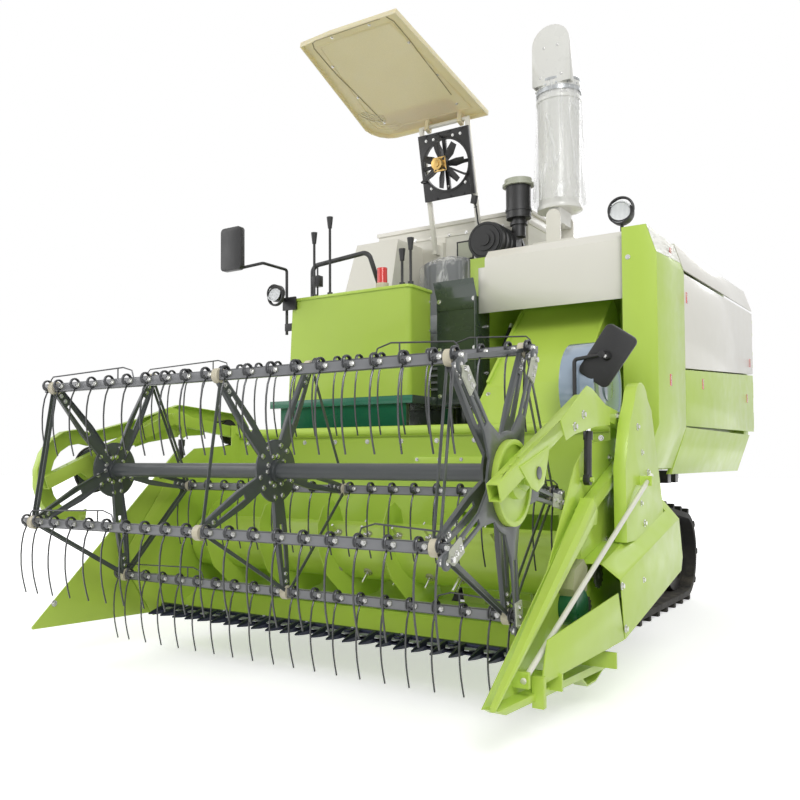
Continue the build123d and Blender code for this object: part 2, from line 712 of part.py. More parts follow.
def fanPanel():
    plate = Box(postX1 - postX0 + postSide, 400, panelThick) - Cylinder(fanR, 40)
    plate = plate + Pos(0, 0, ringFace - 5) * (Cylinder(fanR + 12, 10) - Cylinder(fanR, 12))
    for a in (0, 90):
        plate = plate + Rot(0, 0, a) * Box(2 * fanR + 10, 20, panelThick)
    for x, y in ((-120, 192), (-40, 192), (40, 192), (120, 192), (-90, -192), (0, -192), (90, -192)):
        plate = plate + Pos(x, y, panelThick / 2 + 3) * Box(26, 14, 8)
    return fanPlane * (Pos(0, 0, fanMid) * plate - Pos(0, 0, fanMid) * Cylinder(12.05, 40))


def fanRotor():
    pieces = [Cylinder(36, 26)]
    for k in range(bladeCount):
        blade = topShape([(30, -14), (80, -26), (138, -16), (141, 22), (92, 24), (34, 16)], -1.5, 1.5)
        pieces.append(Rot(0, 0, 360 / bladeCount * k) * Rot(24, 0, 0) * blade)
    return fanPlane * (Pos(0, 0, fanMid + 48) * joined(pieces) + Pos(0, 0, fanMid + 15) * Cylinder(12, 66))


def fanMotor():
    """A square back and a round body, on three stays that stand on the panel's ring."""
    low, foot = fanMid + 74, fanMid + ringFace + gap
    motor = Pos(0, 0, low + 12) * Box(84, 84, 24) + Pos(0, 0, low + 44) * Cylinder(34, 50)
    motor = motor + Pos(0, 0, low + 72) * Cylinder(20, 14)
    reach = fanR + 14
    for a in (90, 210, 330):
        arm = Pos(reach / 2 + 10, 0, low + 3) * Box(reach - 8, 12, 5)
        post = Pos(reach, 0, (low + foot) / 2 + 1) * Box(12, 12, low - foot + 2)
        motor = motor + Rot(0, 0, a) * (arm + post)
    return fanPlane * motor


parts["fan_panel"] = fanPanel()
parts["fan_rotor"] = fanRotor()
parts["fan_motor"] = fanMotor()

# ---- unloading tube, folded up: foot on the roof, tube with its collar, round-topped spout
tubeX, tubeY, tubeR = 290.0, 2300.0, 118.0
baseHigh, earHigh, tubeLong = 165.0, 140.0, 1100.0
baseHalfX, baseHalfY = 150.0, 115.0
baseTop = roofZ(tubeY) + baseHigh
tubeFoot = baseTop + earHigh
tubeTop = tubeFoot + tubeLong
spoutHalf = 110.0


def unloadBase():
    low = roofZ(tubeY + baseHalfY) + gap
    y0, y1 = tubeY - baseHalfY, tubeY + baseHalfY
    wide = level(tubeX - baseHalfX - 25, tubeX + baseHalfX + 25, y0, y1, low)
    narrow = level(tubeX - baseHalfX + 30, tubeX + baseHalfX - 30, y0, y1, baseTop)
    base = loft([wide, narrow], ruled=True)
    for y in (tubeY - baseHalfY + 8, tubeY + baseHalfY - 8):
        base = base + block(tubeX - 40, tubeX + 40, y - 8, y + 8, baseTop - 1, tubeFoot)
        base = base + rod((tubeX, y - 8, tubeFoot), (tubeX, y + 8, tubeFoot), 40)
    return base + rod((tubeX, tubeY - baseHalfY, tubeFoot), (tubeX, tubeY + baseHalfY, tubeFoot), 15)


def unloadTube():
    tube = rod((tubeX, tubeY, tubeFoot + 50), (tubeX, tubeY, tubeTop - 330), tubeR)
    for z0, z1 in ((50, 74), (tubeLong - 420, tubeLong - 400), (tubeLong - 350, tubeLong - 320)):
        tube = tube + rod((tubeX, tubeY, tubeFoot + z0), (tubeX, tubeY, tubeFoot + z1), tubeR + 8)
    foot, centre = tubeTop - 340, tubeTop - spoutHalf
    angles = [radians(a) for a in range(0, 181, 15)]
    plate = [(tubeX - spoutHalf, foot), (tubeX + spoutHalf, foot)]
    plate += [(tubeX + spoutHalf * cos(a), centre + spoutHalf * sin(a)) for a in angles]
    face = tubeY - tubeR - 4
    tube = tube + frontShape(plate, face, face + sheet + 2)
    cheek = [
        (face + 1, foot), (face + 1, centre), (face + 40, centre),
        (tubeY + 60, foot + 40), (tubeY + 60, foot),
    ]
    for side in (-1, 1):
        x0, x1 = sorted((tubeX + side * spoutHalf, tubeX + side * (spoutHalf - sheet)))
        tube = tube + sideShape(cheek, x0, x1)
    tube = tube + block(tubeX - 35, tubeX + 35, tubeY - 92, tubeY + 92, tubeFoot - 35, tubeFoot + 60)
    return tube - rod((tubeX, tubeY - 120, tubeFoot), (tubeX, tubeY + 120, tubeFoot), 15.05)


parts["unload_base"] = unloadBase()
parts["unload_tube"] = unloadTube()

# ---- lamps and the operator's mirror
mirrorLowX = consoleX0 - 50


def roundLamp(x, y, z, r, deep):
    lamp = rod((x, y, z), (x, y + deep, z), r) + rod((x, y + deep - 1, z), (x, y + deep + 22, z), r * 0.6)
    return lamp - rod((x, y - 1, z), (x, y + 5, z), r - 7)


lampZ = roofZ(1560) + 100
lampLeft = rod((850, 1565, roofZ(1565) + gap), (850, 1565, lampZ - 40), 8)
lampLeft = lampLeft + roundLamp(850, 1530, lampZ, 55, 50)
lampRight = roundLamp(mirrorLowX, 1070, consoleTop + 25, 46, 45)
stayY = consoleY0 - topOut - gap
for x0, x1, y0, y1, z0, z1 in (
    (mirrorLowX - 6, mirrorLowX + 6, 1110, stayY, consoleTop - 10, consoleTop + 10),
    (mirrorLowX - 6, consoleX0 + 30, stayY - 12, stayY, consoleTop - 60, consoleTop + 10),
    (consoleX0 + 5, consoleX0 + 30, stayY - 2, consoleY0 - gap, consoleTop - 60, consoleTop - 20),
):
    lampRight = lampRight + block(x0, x1, y0, y1, z0, z1)
parts["work_lamps"] = apart([lampLeft, lampRight])
mirrorPath = [
    (mirrorLowX, 1190, 1560), (mirrorLowX, 1190, 1920), (mirrorLowX, 980, 1920),
    (mirrorLowX - 135, 905, 1890), (mirrorLowX - 135, 905, 2010),
]
mirrorArm = pipe(mirrorPath, 8, 14) + block(mirrorLowX - 8, consoleX0 - 9.5, 1182, 1198, 1580, 1620)
mirrorFace = extrude(RectangleRounded(140, 230, 22), 16, both=True)
mirrorPlate = Pos(mirrorLowX - 135, 890, 1995) * Rot(90, 0, 0) * mirrorFace
parts["mirror_right"] = mirrorArm + mirrorPlate

# ---- header: trough, end plates, back wall and the round pipe along its top
pinOut = armX + armWide / 2 + 3
cylLow, cylHigh, cylPin = (528.0, 800.0), (540.0, 1005.0), 9.0
pivotPin, towerHalf = 14.0, 45.0
mouthLow, mouthHigh = 260.0, 640.0
backThick = 59.0


def headerPan():
    trough = [
        (knifeY + 40, panZ), (500, panZ + 5), (augerY - 90, augerZ - 240), (augerY, augerZ - 255),
        (augerY + 120, augerZ - 225), (augerY + 205, augerZ - 140), (backY, augerZ - 20), (backY, backTop),
    ]
    pan = sideShape(strip(trough, -sheet), -cutHalf, cutHalf)
    towerTop = armPivotZ + 35
    ends = [
        (knifeY - 20, panZ - 20), (augerY + 150, panZ - 20), (backY + 150, augerZ - 150), (backY + 150, 900),
        (armPivotY + towerHalf, backTop), (armPivotY + towerHalf, towerTop),
        (armPivotY - towerHalf, towerTop), (armPivotY - towerHalf, 950), (600, 930), (470, 850), (120, 420),
    ]
    for side in (-1, 1):
        x0, x1 = sorted((side * cutHalf, side * endOut))
        pan = pan + sideShape(ends, x0, x1)
        pan = pan + rodX(side * (cutHalf - 6), side * pinOut, armPivotY, armPivotZ, pivotPin)
        pan = pan + rodX(side * (cutHalf - 1), side * pinOut, *cylLow, cylPin)
        pan = pan + rodX(side * (cutHalf + 1), side * (endOut + bearingWide), augerY, augerZ, bearingR)
        pan = pan - rodX(side * (cutHalf - 1), side * (cutHalf + 40), augerY, augerZ, augerShaftR + 0.05)
    pan = pan - block(feederX0 + 10, feederX1 - 10, backY - 120, backY + 40, mouthLow, mouthHigh)
    pan = pan + rodX(-cutHalf, cutHalf, backY + 8, backTop + pipeR - 4, pipeR)
    return pan + block(-cutHalf, cutHalf, backY + 1, backY + 1 + backThick, 880, 960)


parts["header_pan"] = headerPan()

# ---- cutter bar: knife back, guards that turn up a little at their points, knife sections
guardPitch = 76.2
guardLong, guardHalf = 90.0, 16.0


def cutterBar():
    back = block(-cutHalf + 2, cutHalf - 2, knifeY + 2, knifeY + 40 - gap, knifeZ - 24, knifeZ - 10)
    count = int(2 * cutHalf / guardPitch)
    rise = [
        (knifeY + 10, knifeZ - 22), (knifeY + 10, knifeZ - 2), (knifeY - 45, knifeZ + 2),
        (knifeY - guardLong + 40, knifeZ + 4), (knifeY - 40, knifeZ - 18),
    ]
    pieces = []
    for i in range(count):
        x = (i - (count - 1) / 2) * guardPitch
        plan = [
            (x - guardHalf, knifeY + 10), (x + guardHalf, knifeY + 10), (x + 10, knifeY - 35),
            (x + 1, knifeY - guardLong + 40), (x - 4, knifeY - guardLong + 40), (x - 10, knifeY - 35),
        ]
        pieces.append(topShape(plan, knifeZ - 24, knifeZ + 6) & sideShape(rise, x - 20, x + 20))
    for i in range(count - 1):
        x = (i - (count - 2) / 2) * guardPitch
        plan = [(x - 37, knifeY + 14), (x + 37, knifeY + 14), (x + 9, knifeY - 38), (x - 9, knifeY - 38)]
        pieces.append(topShape(plan, knifeZ - 12, knifeZ - 9))
    return joined([back] + pieces)


parts["cutter_bar"] = cutterBar()

# ---- crop dividers
# Left: a folded six-sided bar over a web, a bottom rail with its skid, and a rail up to the guard.
webX1 = endOut + gap + sheet
barTopY, barTopZ = 480.0, 735.0
barIn, barOut = endOut + 3, endOut + 71
tipX = endOut + 29
frontPlate = [(-49, 190), (552, 236), (506, 405), (-9, 319)]
frontPlateIn, frontPlateOut = barOut - 2, shieldX
clevisY, clevisZ = -117.0, 217.0


def across(points, y):
    """A flat closed outline in (x, z) at one y."""
    return make_face(Polyline(*[(x, y, z) for x, z in points], close=True))


def leftDivider():
    web = [
        (tipY + 6, tipZ - 10), (barTopY - 20, 690), (barTopY + 25, 690), (barTopY + 25, 225),
        (616, 215), (616, 112), (-240, tipZ - 24),
    ]
    body = sideShape(web, endOut + gap, webX1)
    top = [
        (barIn, barTopZ - 75), (barIn + 12, barTopZ), (barOut - 14, barTopZ), (barOut, barTopZ - 35),
        (barOut - 4, barTopZ - 80), (barIn + 16, barTopZ - 95),
    ]
    tip = [
        (tipX, tipZ - 8), (tipX + 2, tipZ + 4), (tipX + 16, tipZ + 4), (tipX + 20, tipZ),
        (tipX + 18, tipZ - 8), (tipX + 4, tipZ - 12),
    ]
    body = body + loft([across(tip, tipY), across(top, barTopY)], ruled=True)
    cap = [(barTopY - 1, 640), (barTopY - 1, barTopZ), (barTopY + 45, 690), (barTopY + 30, 640)]
    body = body + sideShape(cap, barIn + 8, barOut - 10)
    body = body + bar((barIn + 20, barTopY - 30, 672), (barIn + 20, 1010, 885), 40, 44)
    rail = [(tipY + 8, tipZ - 8), (616, 140), (616, 112), (tipY + 60, tipZ - 30)]
    body = body + sideShape(rail, endOut + gap, barOut - 20)
    skid = [(350, 132), (430, 84), (520, 84), (616, 112), (616, 118), (520, 90), (432, 90), (352, 140)]
    body = body + sideShape(skid, endOut + gap, barOut - 24)
    plan = strip([(frontPlateIn, -49), (frontPlateOut, 560)], sheet)
    body = body + (topShape(plan, 150, 460) & sideShape(frontPlate, barIn, shieldX + 50))
    body = body + block(barOut - 30, frontPlateIn + 8, -60, -35, 120, 215)
    plateLean = (frontPlateOut - frontPlateIn) / (560 + 49)
    for y in (60, 460):
        body = body + block(webX1 - 1, frontPlateIn + 8 + plateLean * (y + 49), y, y + 14, 150, 205)
    body = body + block(webX1 - 1, rodFront[0] + 16, clevisY - 8, clevisY + 8, clevisZ - 26, clevisZ + 22)
    return body - rod(rodFront, rodRear, dividerRodR + 0.05)


# Right: a closed wedge with a fold line, wide at the header's end.
def rightDivider():
    inner, middle, outer = -endOut - gap, -endOut - 13, -endOut - 42
    rear = [(inner, 146), (outer, 146), (outer, 360), (middle, 985), (inner, 985)]
    inner, middle, outer = middle - 10, middle - 12, middle - 20
    tip = [(inner, tipZ - 10), (outer, tipZ - 10), (outer, tipZ), (middle, tipZ + 6), (inner, tipZ + 6)]
    wedge = loft([across(tip, tipY), across(rear, 560)], ruled=True)
    return wedge - block(outer - 50, 0, 490, 600, 740, 1000)


rodFront = (barOut - 30, clevisY - 12, clevisZ - 6)
rodRear = (shieldX - 12, 975.0, 810.0)
dividerRodR = 9.0
parts["dividers"] = apart([leftDivider(), rightDivider()])
parts["divider_rod"] = rod(rodFront, rodRear, dividerRodR)

# ---- auger: tube with two hands of flighting, retracting fingers between them
flightPitch = 330.0
turnSteps = 12
fingerCount, fingerR = 10, 8.0


def flight(x0, x1, hand):
    """A helical blade as a ruled loft through thin radial sections, with its root inside the tube."""
    turns = (x1 - x0) / flightPitch
    count = round(turns * turnSteps)
    sections = []
    for i in range(count + 1):
        x, a = x0 + (x1 - x0) * i / count, hand * 2 * pi * turns * i / count
        edge = []
        for side, r in ((-1, augerR - sheet), (1, augerR - sheet), (1, flightR), (-1, flightR)):
            edge.append((x + side * sheet / 2, augerY + r * cos(a), augerZ + r * sin(a)))
        sections.append(make_face(Polyline(*edge, close=True)))
    return loft(sections, ruled=True)


def auger():
    tubeEnd = cutHalf - clear
    shaftEnd = endOut + bearingWide + 4
    pieces = [rodX(-tubeEnd, tubeEnd, augerY, augerZ, augerR)]
    pieces.append(rodX(-shaftEnd, shaftEnd, augerY, augerZ, augerShaftR))
    pieces.append(flight(-tubeEnd + 6, feederX0 - 10, 1))
    pieces.append(flight(feederX1 + 10, tubeEnd - 6, -1))
    for k in range(fingerCount):
        a = radians(72 * k)
        x = feederX0 + 45 + (feederX1 - feederX0 - 90) * k / (fingerCount - 1)
        reach = flightR - 10
        finger = (x, augerY + reach * cos(a), augerZ + reach * sin(a))
        pieces.append(rod((x, augerY, augerZ), finger, fingerR))
    return joined(pieces)


parts["auger"] = auger()

# ---- feeder house, its flanges and the round hood beside it
feederTop = (1720, 1660)
feederNose = (1230, 1210)
seatY = backY + sheet + gap
backFace = backY + 1 + backThick + gap
flangeWide, flangeHigh = 14.0, 18.0


def feederHouse():
    outline = [
        (seatY, 330), (backY + 45, 215), (1130, 230), (1980, 1150), (liftY + 35, liftZ - 50),
        (liftY + 35, liftZ + 40), feederTop, feederNose,
        (backFace, 1000), (backFace, 880 - gap), (seatY, 880 - gap),
    ]
    house = sideShape(outline, feederX0, feederX1)
    for x in (feederX0 + flangeWide / 2, feederX1 - flangeWide / 2):
        start = (x, feederNose[0] + 20, feederNose[1] + 18 + flangeHigh / 2)
        end = (x, feederTop[0] - 40, feederTop[1] - 36 + flangeHigh / 2)
        house = house + bar(start, end, flangeWide, flangeHigh)
    y, z = ramHigh
    fork = block(ramX - 24, ramX + 24, y - 22, y + 22, z - 22, z + 60)
    fork = fork - block(ramX - 17, ramX + 17, y - 40, y + 40, z - 40, z + 34)
    house = house + fork + rodX(ramX - 24, ramX + 24, y, z, ramPin)
    house = house + rodX(feederX0 - 30, feederX1 + 30, liftY, liftZ, liftPin)
    return house - block(feederX0 + 6, feederX1 - 6, backY, 1130, mouthLow + 10, mouthHigh)


parts["feeder_house"] = feederHouse()
hoodY, hoodZ, hoodR = 1140.0, 1180.0, 195.0
hood = rodX(feederX1 + gap, cutHalf - 80, hoodY, hoodZ, hoodR)
hood = hood - rodX(cutHalf - 84, cutHalf, hoodY, hoodZ, hoodR - 16)
parts["feeder_hood"] = hood + rodX(cutHalf - 90, cutHalf - 78, hoodY, hoodZ, 60)

# ---- drive shields at the left end: a tall rounded guard and a faceted shield behind the divider
guardX0, guardX1 = endOut + 53, endOut + 99
guardTop = (965.0, 1080.0, 98.0)
creaseX = shieldX - 65


def leftGuard():
    y, z, r = guardTop
    bend = [(y - r * cos(radians(a)), z + r * sin(radians(a))) for a in range(12, 160, 21)]
    outline = [(742, 560), (736, 840), (800, 1010)] + bend + [(1110, 1075), (1262, 690), (1290, 560)]
    inside = [(750, 550), (744, 838), (808, 1006)]
    inside += [(y - (r - 8) * cos(radians(a)), z + (r - 8) * sin(radians(a))) for a in range(12, 160, 21)]
    inside += [(1103, 1071), (1254, 688), (1282, 550)]
    shell = sideShape(outline, guardX0, guardX1) - sideShape(inside, guardX0 - 1, guardX1 - sheet)
    for y0, z0 in ((1000, 960), (1050, 620), (1180, 620)):
        shell = shell + block(endOut + gap, guardX1 - 1, y0, y0 + 30, z0, z0 + 40)
    return shell


def gearShield():
    outer = [(515, 451), (1359, 620), (1411, 450), (1385, 395), (559, 236)]
    inner = [(512, 502), (1365, 697), (1425, 450), (1395, 385), (556, 236)]
    outerHole = [(490, 442), (1355, 615), (1406, 450), (1382, 399), (535, 236)]
    innerHole = [(490, 493), (1361, 692), (1420, 450), (1391, 390), (535, 241)]

    def at(points, x):
        return make_face(Polyline(*[(x, y, z) for y, z in points], close=True))
    shell = sideShape(inner, endOut + gap, creaseX)
    shell = shell + loft([at(inner, creaseX), at(outer, shieldX)], ruled=True)
    hole = sideShape(innerHole, endOut, creaseX - 2)
    return shell - (hole + loft([at(innerHole, creaseX - 2), at(outerHole, shieldX - sheet)], ruled=True))


clip = block(guardX1 - 1, rodRear[0] + 14, 925, 945, 770, 808)
shields = (gearShield() - block(endOut, guardX1, 700, 1300, 560, 720)) + leftGuard() + clip
parts["drive_shields"] = shields - rod(rodFront, rodRear, dividerRodR + 0.05)

# ---- gearbox, knife drive and chain in the opening ahead of the shield
gearX0 = webX1 + gap
driveY, driveZ, driveR = 330.0, 430.0, 62.0
chainX0, chainX1 = endOut + 31, endOut + 39
chainWheels = ((470.0, 350.0, 34.0, gearX0), (600.0, 450.0, 40.0, endOut + gap))  # y, z, radius, inner end


def gearDrive():
    """The gearbox with its drum, and the chain wheels beside it."""
    outline = [(262, 440), (285, 505), (372, 530), (410, 500), (405, 420), (300, 395)]
    box = sideShape(outline, gearX0, endOut + 59)
    pieces = [box + rodX(gearX0, endOut + 67, driveY, driveZ - 60, driveR)]
    for y, z, r, inner in chainWheels:
        wheel = rodX(chainX0, chainX1, y, z, r) + rodX(inner, chainX1 + 4, y, z, 12)
        for k in range(12):
            a = radians(30 * k)
            tooth = (y + (r + 2) * cos(a), z + (r + 2) * sin(a))
            wheel = wheel + rodX(chainX0, chainX1, *tooth, 5)
        pieces.append(wheel)
    return apart(pieces)


parts["gear_drive"] = gearDrive()

# ---- mirror on a bent rod at the left of the top pipe
mirrorX, mirrorY, mirrorZ = cutHalf - 150, backY + 8, backTop + pipeR - 4


def leftMirror():
    low, ahead = mirrorZ + pipeR, mirrorY - 40
    path = [
        (mirrorX, mirrorY, low + 4), (mirrorX, mirrorY, low + 24), (mirrorX, ahead, low + 60),
        (mirrorX, ahead, 1283), (mirrorX + 115, ahead, 1296),
    ]
    stem = pipe(path, 8, 15)
    foot = block(mirrorX - 30, mirrorX + 30, mirrorY - 22, mirrorY + 22, low + gap, low + 8)
    face = RectangleRounded(128, 205, 26)
    glass = Pos(mirrorX + 127, ahead - 8, 1288) * Rot(0, 40, 0) * Rot(90, 0, 0) * extrude(face, 14)
    ball = (mirrorX + 115, ahead - 14, 1296), (mirrorX + 115, ahead + 10, 1296)
    return foot + stem + glass + rod(*ball, 14)


parts["mirror_left"] = leftMirror()

# ---- reel arms: bent square tubes, open in front, with a knee plate and the shaft's bearing plates
armRun = [(-290.0, 776.0), (460.0, 1076.0), (armPivotY, armPivotZ)]
armWall = 4.0
kneeOut = armX + armWide / 2 + sheet - 0.5
kneePlate = [
    (200, 1002), (245, 935), (330, 958), (560, 992), (725, 1002),
    (725, 1060), (520, 1128), (470, 1134), (420, 1112),
]
bearingPlate = [(-150, 850), (95, 915), (70, 850), (42, 795), (-10, 772), (-62, 785)]


def reelArm(side):
    x = side * armX
    pieces = []
    for (y0, z0), (y1, z1) in zip(armRun, armRun[1:]):
        pieces.append(bar((x, y0, z0), (x, y1, z1), armWide, armHigh))
    face = armX + armWide / 2
    for points, x0, x1 in (
        (kneePlate, face - 1, kneeOut), (bearingPlate, face - 1, kneeOut),
        (bearingPlate, face - armWide, face - armWide + sheet),
    ):
        pieces.append(sideShape(points, *sorted((side * x0, side * x1))))
    pieces.append(rodX(x - armWide / 2, x + armWide / 2, 0, reelZ, 40))
    y, z = cylHigh
    fork = block(x - armWide / 2, x + armWide / 2, y - 16, y + 16, z - 16, z + 50)
    fork = fork - block(x - 12, x + 12, y - 40, y + 40, z - 30, z + 26)
    pieces.append(fork + rodX(x - armWide / 2, x + armWide / 2, y, z, cylPin))
    arm = joined(pieces)
    (y0, z0), (y1, z1) = armRun[:2]
    slope = (z1 - z0) / (y1 - y0)
    start, end = (x, y0 - 1, z0 - slope), (x, 20, z0 + slope * (20 - y0))
    arm = arm - bar(start, end, armWide - 2 * armWall, armHigh - 2 * armWall)
    for y in (-230, -170, -110):
        arm = arm - rod((x, y, z0 + slope * (y - y0)), (x, y, z0 + slope * (y - y0) + 60), 5)
    arm = arm - rodX(x - 60, x + 60, 0, reelZ, shaftR + gap)
    return arm - rodX(x - 60, x + 60, armPivotY, armPivotZ, pivotPin + gap)


shaftR = 20.0
hubR, hubOut = 135.0, ringX + 23
eccentricY, eccentricZ = -crankForward, reelZ - crankDown


def eccentricHub():
    disc = rodX(ringX - 4, hubOut, eccentricY, eccentricZ, hubR)
    disc = disc - rodX(hubOut - 8, hubOut + 1, eccentricY, eccentricZ, hubR - 16)
    boss = rodX(hubOut - 12, armX - armWide / 2 + 1, eccentricY + 10, eccentricZ + 15, 66)
    return disc + boss - rodX(ringX - 30, armX, 0, reelZ, shaftR + gap)


parts["reel_arms"] = apart([reelArm(1) + eccentricHub(), reelArm(-1)])

# ---- belt drive of the reel at the right end, in its long guard
beltX0, beltX1 = -armX - armWide / 2 - 24, -armX - armWide / 2 - 8
guardOut = beltX0 - 10
reelPulleyR, drivePulleyR = 95.0, 60.0
beltRun = 8.0
beltWheels = ((0.0, reelZ, reelPulleyR + 2), (armPivotY, armPivotZ, drivePulleyR + 2))


def beltDrive():
    loop = loopFace(loopRuns(beltWheels, beltRun)) - loopFace(loopRuns(beltWheels, gap))
    belt = Pos(beltX0 + 2, 0, 0) * extrude(loop, 12, dir=(1, 0, 0))
    wheel = rodX(beltX0, beltX1, armPivotY, armPivotZ, drivePulleyR + 2)
    wheel = wheel + rodX(beltX1 - 1, -armX - armWide / 2 - gap, armPivotY, armPivotZ, 30)
    return apart([belt, wheel - rodX(beltX0 - 1, -armX, armPivotY, armPivotZ, pivotPin + gap)])


def beltGuard():
    """A crescent round the front pulley that runs back as a long peaked cover."""
    cy, cz, outerR, innerR = -96.0, 795.0, 214.0, 150.0
    angles = [radians(a) for a in range(70, 291, 20)]
    outerArc = [(cy + outerR * cos(a), cz + outerR * sin(a)) for a in angles[::-1]]
    innerArc = [(cy + 30 + innerR * cos(a), cz + innerR * sin(a)) for a in angles]
    back = [(300, 1075), (547, 1150), (1040, 1118), (1094, 1050), (1060, 985), (540, 1085), (290, 1005)]
    side = sideShape(outerArc + back + innerArc, guardOut - sheet, guardOut)
    rimOut = outerArc + back[:4]
    rim = sideShape(strip(rimOut, -sheet), guardOut - 1, beltX1 + 4)
    stay = block(guardOut - 1, -kneeOut - gap, 470, 500, 1088, 1110)
    return side + rim + stay


parts["belt_drive"] = beltDrive()
parts["belt_guard"] = beltGuard()


# ---- reel: shaft, tube and pressed spiders with folded edges and tie straps
def batAngle(k):
    return radians(reelStart + 360 / batCount * k)


def batSpot(k):
    a = batAngle(k)
    return -reelR * cos(a), reelZ + reelR * sin(a)


tipR, bossR = 18.0, 25.0
armEdge = [(26, 60), (34, 230), (20, reelR - tipR)]
edgeFold = 12.0
strapThick, strapWide, strapX = 3.0, 14.0, 9.0


def radialPlane(x, k):
    a = batAngle(k)
    return Plane(origin=(x, 0, reelZ), x_dir=(0, sin(a), cos(a)), z_dir=(1, 0, 0))


def spider(x, inward):
    pieces = [rodX(x - 4, x + 4, 0, reelZ, 120)]
    left = [(-w, r) for w, r in armEdge]
    outline = armEdge + left[::-1]
    slot = [(-10, 205), (10, 205), (8, 375), (-8, 375)]
    for k in range(batCount):
        arm = topShape(outline, -4, 4) - topShape(slot, -5, 5)
        fold = (-3, edgeFold) if inward > 0 else (-edgeFold, 3)
        for run, thick in ((armEdge, 3), (left, -3)):
            arm = arm + topShape(strip(run, thick), *fold)
        pieces.append(radialPlane(x, k) * arm)
        pieces.append(rodX(x - 12, x + 12, *batSpot(k), bossR))
        for xs in ((-strapX, strapX) if x else (strapX,)):
            start, end = batSpot(k), batSpot((k + 1) % batCount)
            x0 = x + xs + (0 if xs > 0 else -strapThick) + strapThick / 2
            pieces.append(bar((x0, *start), (x0, *end), strapThick, strapWide))
    return joined(pieces)


pinR = 9.0
reelPieces = [rodX(beltX0, armX + armWide / 2 + 6, 0, reelZ, shaftR)]
reelPieces.append(rodX(-batHalf + 20, batHalf - 20, 0, reelZ, reelTubeR))
reelPieces.append(rodX(beltX0, beltX1, 0, reelZ, reelPulleyR))
reelPieces += [spider(x, 1 if x < 0 else -1) for x in spiderX]
reel = joined(reelPieces)
for k in range(batCount):
    reel = reel - rodX(-cutHalf, cutHalf, *batSpot(k), pinR + 3 + 0.05)
parts["reel_spiders"] = reel

# ---- bats: a bar with a coil and a curved tine at each place, and the crank at the left end
tinesInBay = 9
tineMargin, endTine = 46.0, 24.0
tineRun = [(13, 0.0), (30, -0.18), (37, -0.45), (31, -0.75), (12, -1.0)]  # (forward, share of the length)


def tineXs():
    spots = [spiderX[0] - endTine]
    for a, b in zip(spiderX, spiderX[1:]):
        step = (b - a - 2 * tineMargin) / (tinesInBay - 1)
        spots += [a + tineMargin + i * step for i in range(tinesInBay)]
    return spots + [spiderX[-1] + endTine]


def bat(k):
    y, z = batSpot(k)
    pieces = [rodX(-batHalf + 5, ringX - 14, y, z, pinR + 3)]
    edges = [-batHalf]
    for x in spiderX:
        edges += [x - 14, x + 14]
    edges.append(ringX - 22)
    for x0, x1 in zip(edges[::2], edges[1::2]):
        pieces.append(block(x0, x1, y - batSide / 2, y + batSide / 2, z - batSide / 2, z + batSide / 2))
    run = [(y - f, z + tineLong * s) for f, s in tineRun]
    wire = sideShape(strip(run, tineThick), -tineThick / 2, tineThick / 2)
    for x in tineXs():
        coil = rodX(x - coilWide / 2, x + coilWide / 2, y, z + 4, coilR)
        pieces.append(coil + Pos(x, 0, 0) * wire)
    low = (y - crankForward, z - crankDown)
    crank = [(y + 12, z + 12), (low[0] - 12, low[1] + 4), (low[0] + 4, low[1] - 14), (y + 12, z - 12)]
    pieces.append(sideShape(crank, ringX - 24, ringX - 14))
    pieces.append(rodX(ringX - 16, ringX + 4, *low, pinR))
    return joined(pieces)


for k in range(batCount):
    parts[f"reel_bat_{k + 1}"] = bat(k)

# ---- the eccentric ring on its hub, with a slotted fork to each crank
ringOuter = hubR + 27
forkOutline = [(-62, hubR - 5), (62, hubR - 5), (24, 235), (18, reelR - 8), (-18, reelR - 8), (-24, 235)]
forkSlot = [(-9, 245), (9, 245), (7, 400), (-7, 400)]


def eccentricRing():
    ring = rodX(ringX - 4, ringX + 4, 0, reelZ, ringOuter)
    for k in range(batCount):
        arm = topShape(forkOutline, -4, 4) - topShape(forkSlot, -5, 5)
        ring = ring + radialPlane(ringX, k) * arm + rodX(ringX - 4, ringX + 4, *batSpot(k), 24)
    for k in range(batCount):
        ring = ring - rodX(ringX - 30, ringX + 30, *batSpot(k), pinR + 0.05)
    ring = ring - rodX(ringX - 30, ringX + 30, 0, reelZ, hubR + gap)
    return Pos(0, eccentricY, eccentricZ - reelZ) * ring


parts["reel_eccentric"] = eccentricRing()

# ---- lift cylinders, drawn along a line from the lower eye to the upper one
def along(a, b, share):
    return tuple(p + (q - p) * share for p, q in zip(a, b))


def cylinder(x, low, high, bore, wall, pin, drift):
    """Barrel with its eye on the lower pin, and rod with a wide eye round the upper one."""
    low, high = (x, *low), (x, *high)
    mouth = along(low, high, 0.85)
    barrel = rod(along(low, high, 0.04), mouth, bore + wall)
    barrel = barrel + rodX(x - bore - 2, x + bore + 2, *low[1:], pin + 12)
    barrel = barrel + rod(along(low, high, 0.70), mouth, bore + wall + 3)
    barrel = barrel - rod(along(low, high, 0.08), along(low, high, 1.0), bore)
    barrel = barrel - rodX(x - 60, x + 60, *low[1:], pin + 0.05)
    stem = rod(along(low, high, 0.1), high, bore - 0.05) + rodX(x - 9, x + 9, *high[1:], pin + drift + 9)
    return barrel, stem - rodX(x - 60, x + 60, *high[1:], pin + drift)


reelEyeDrift, headerEyeDrift = 4.0, 6.0
reelCylinders = [cylinder(side * armX, cylLow, cylHigh, 9, 5, cylPin, reelEyeDrift) for side in (-1, 1)]
parts["reel_cylinder_barrels"] = apart([pair[0] for pair in reelCylinders])
parts["reel_cylinder_rods"] = apart([pair[1] for pair in reelCylinders])
header = cylinder(ramX, ramLow, ramHigh, 15, 11, ramPin, headerEyeDrift)
parts["header_ram_barrel"], parts["header_ram_rod"] = header

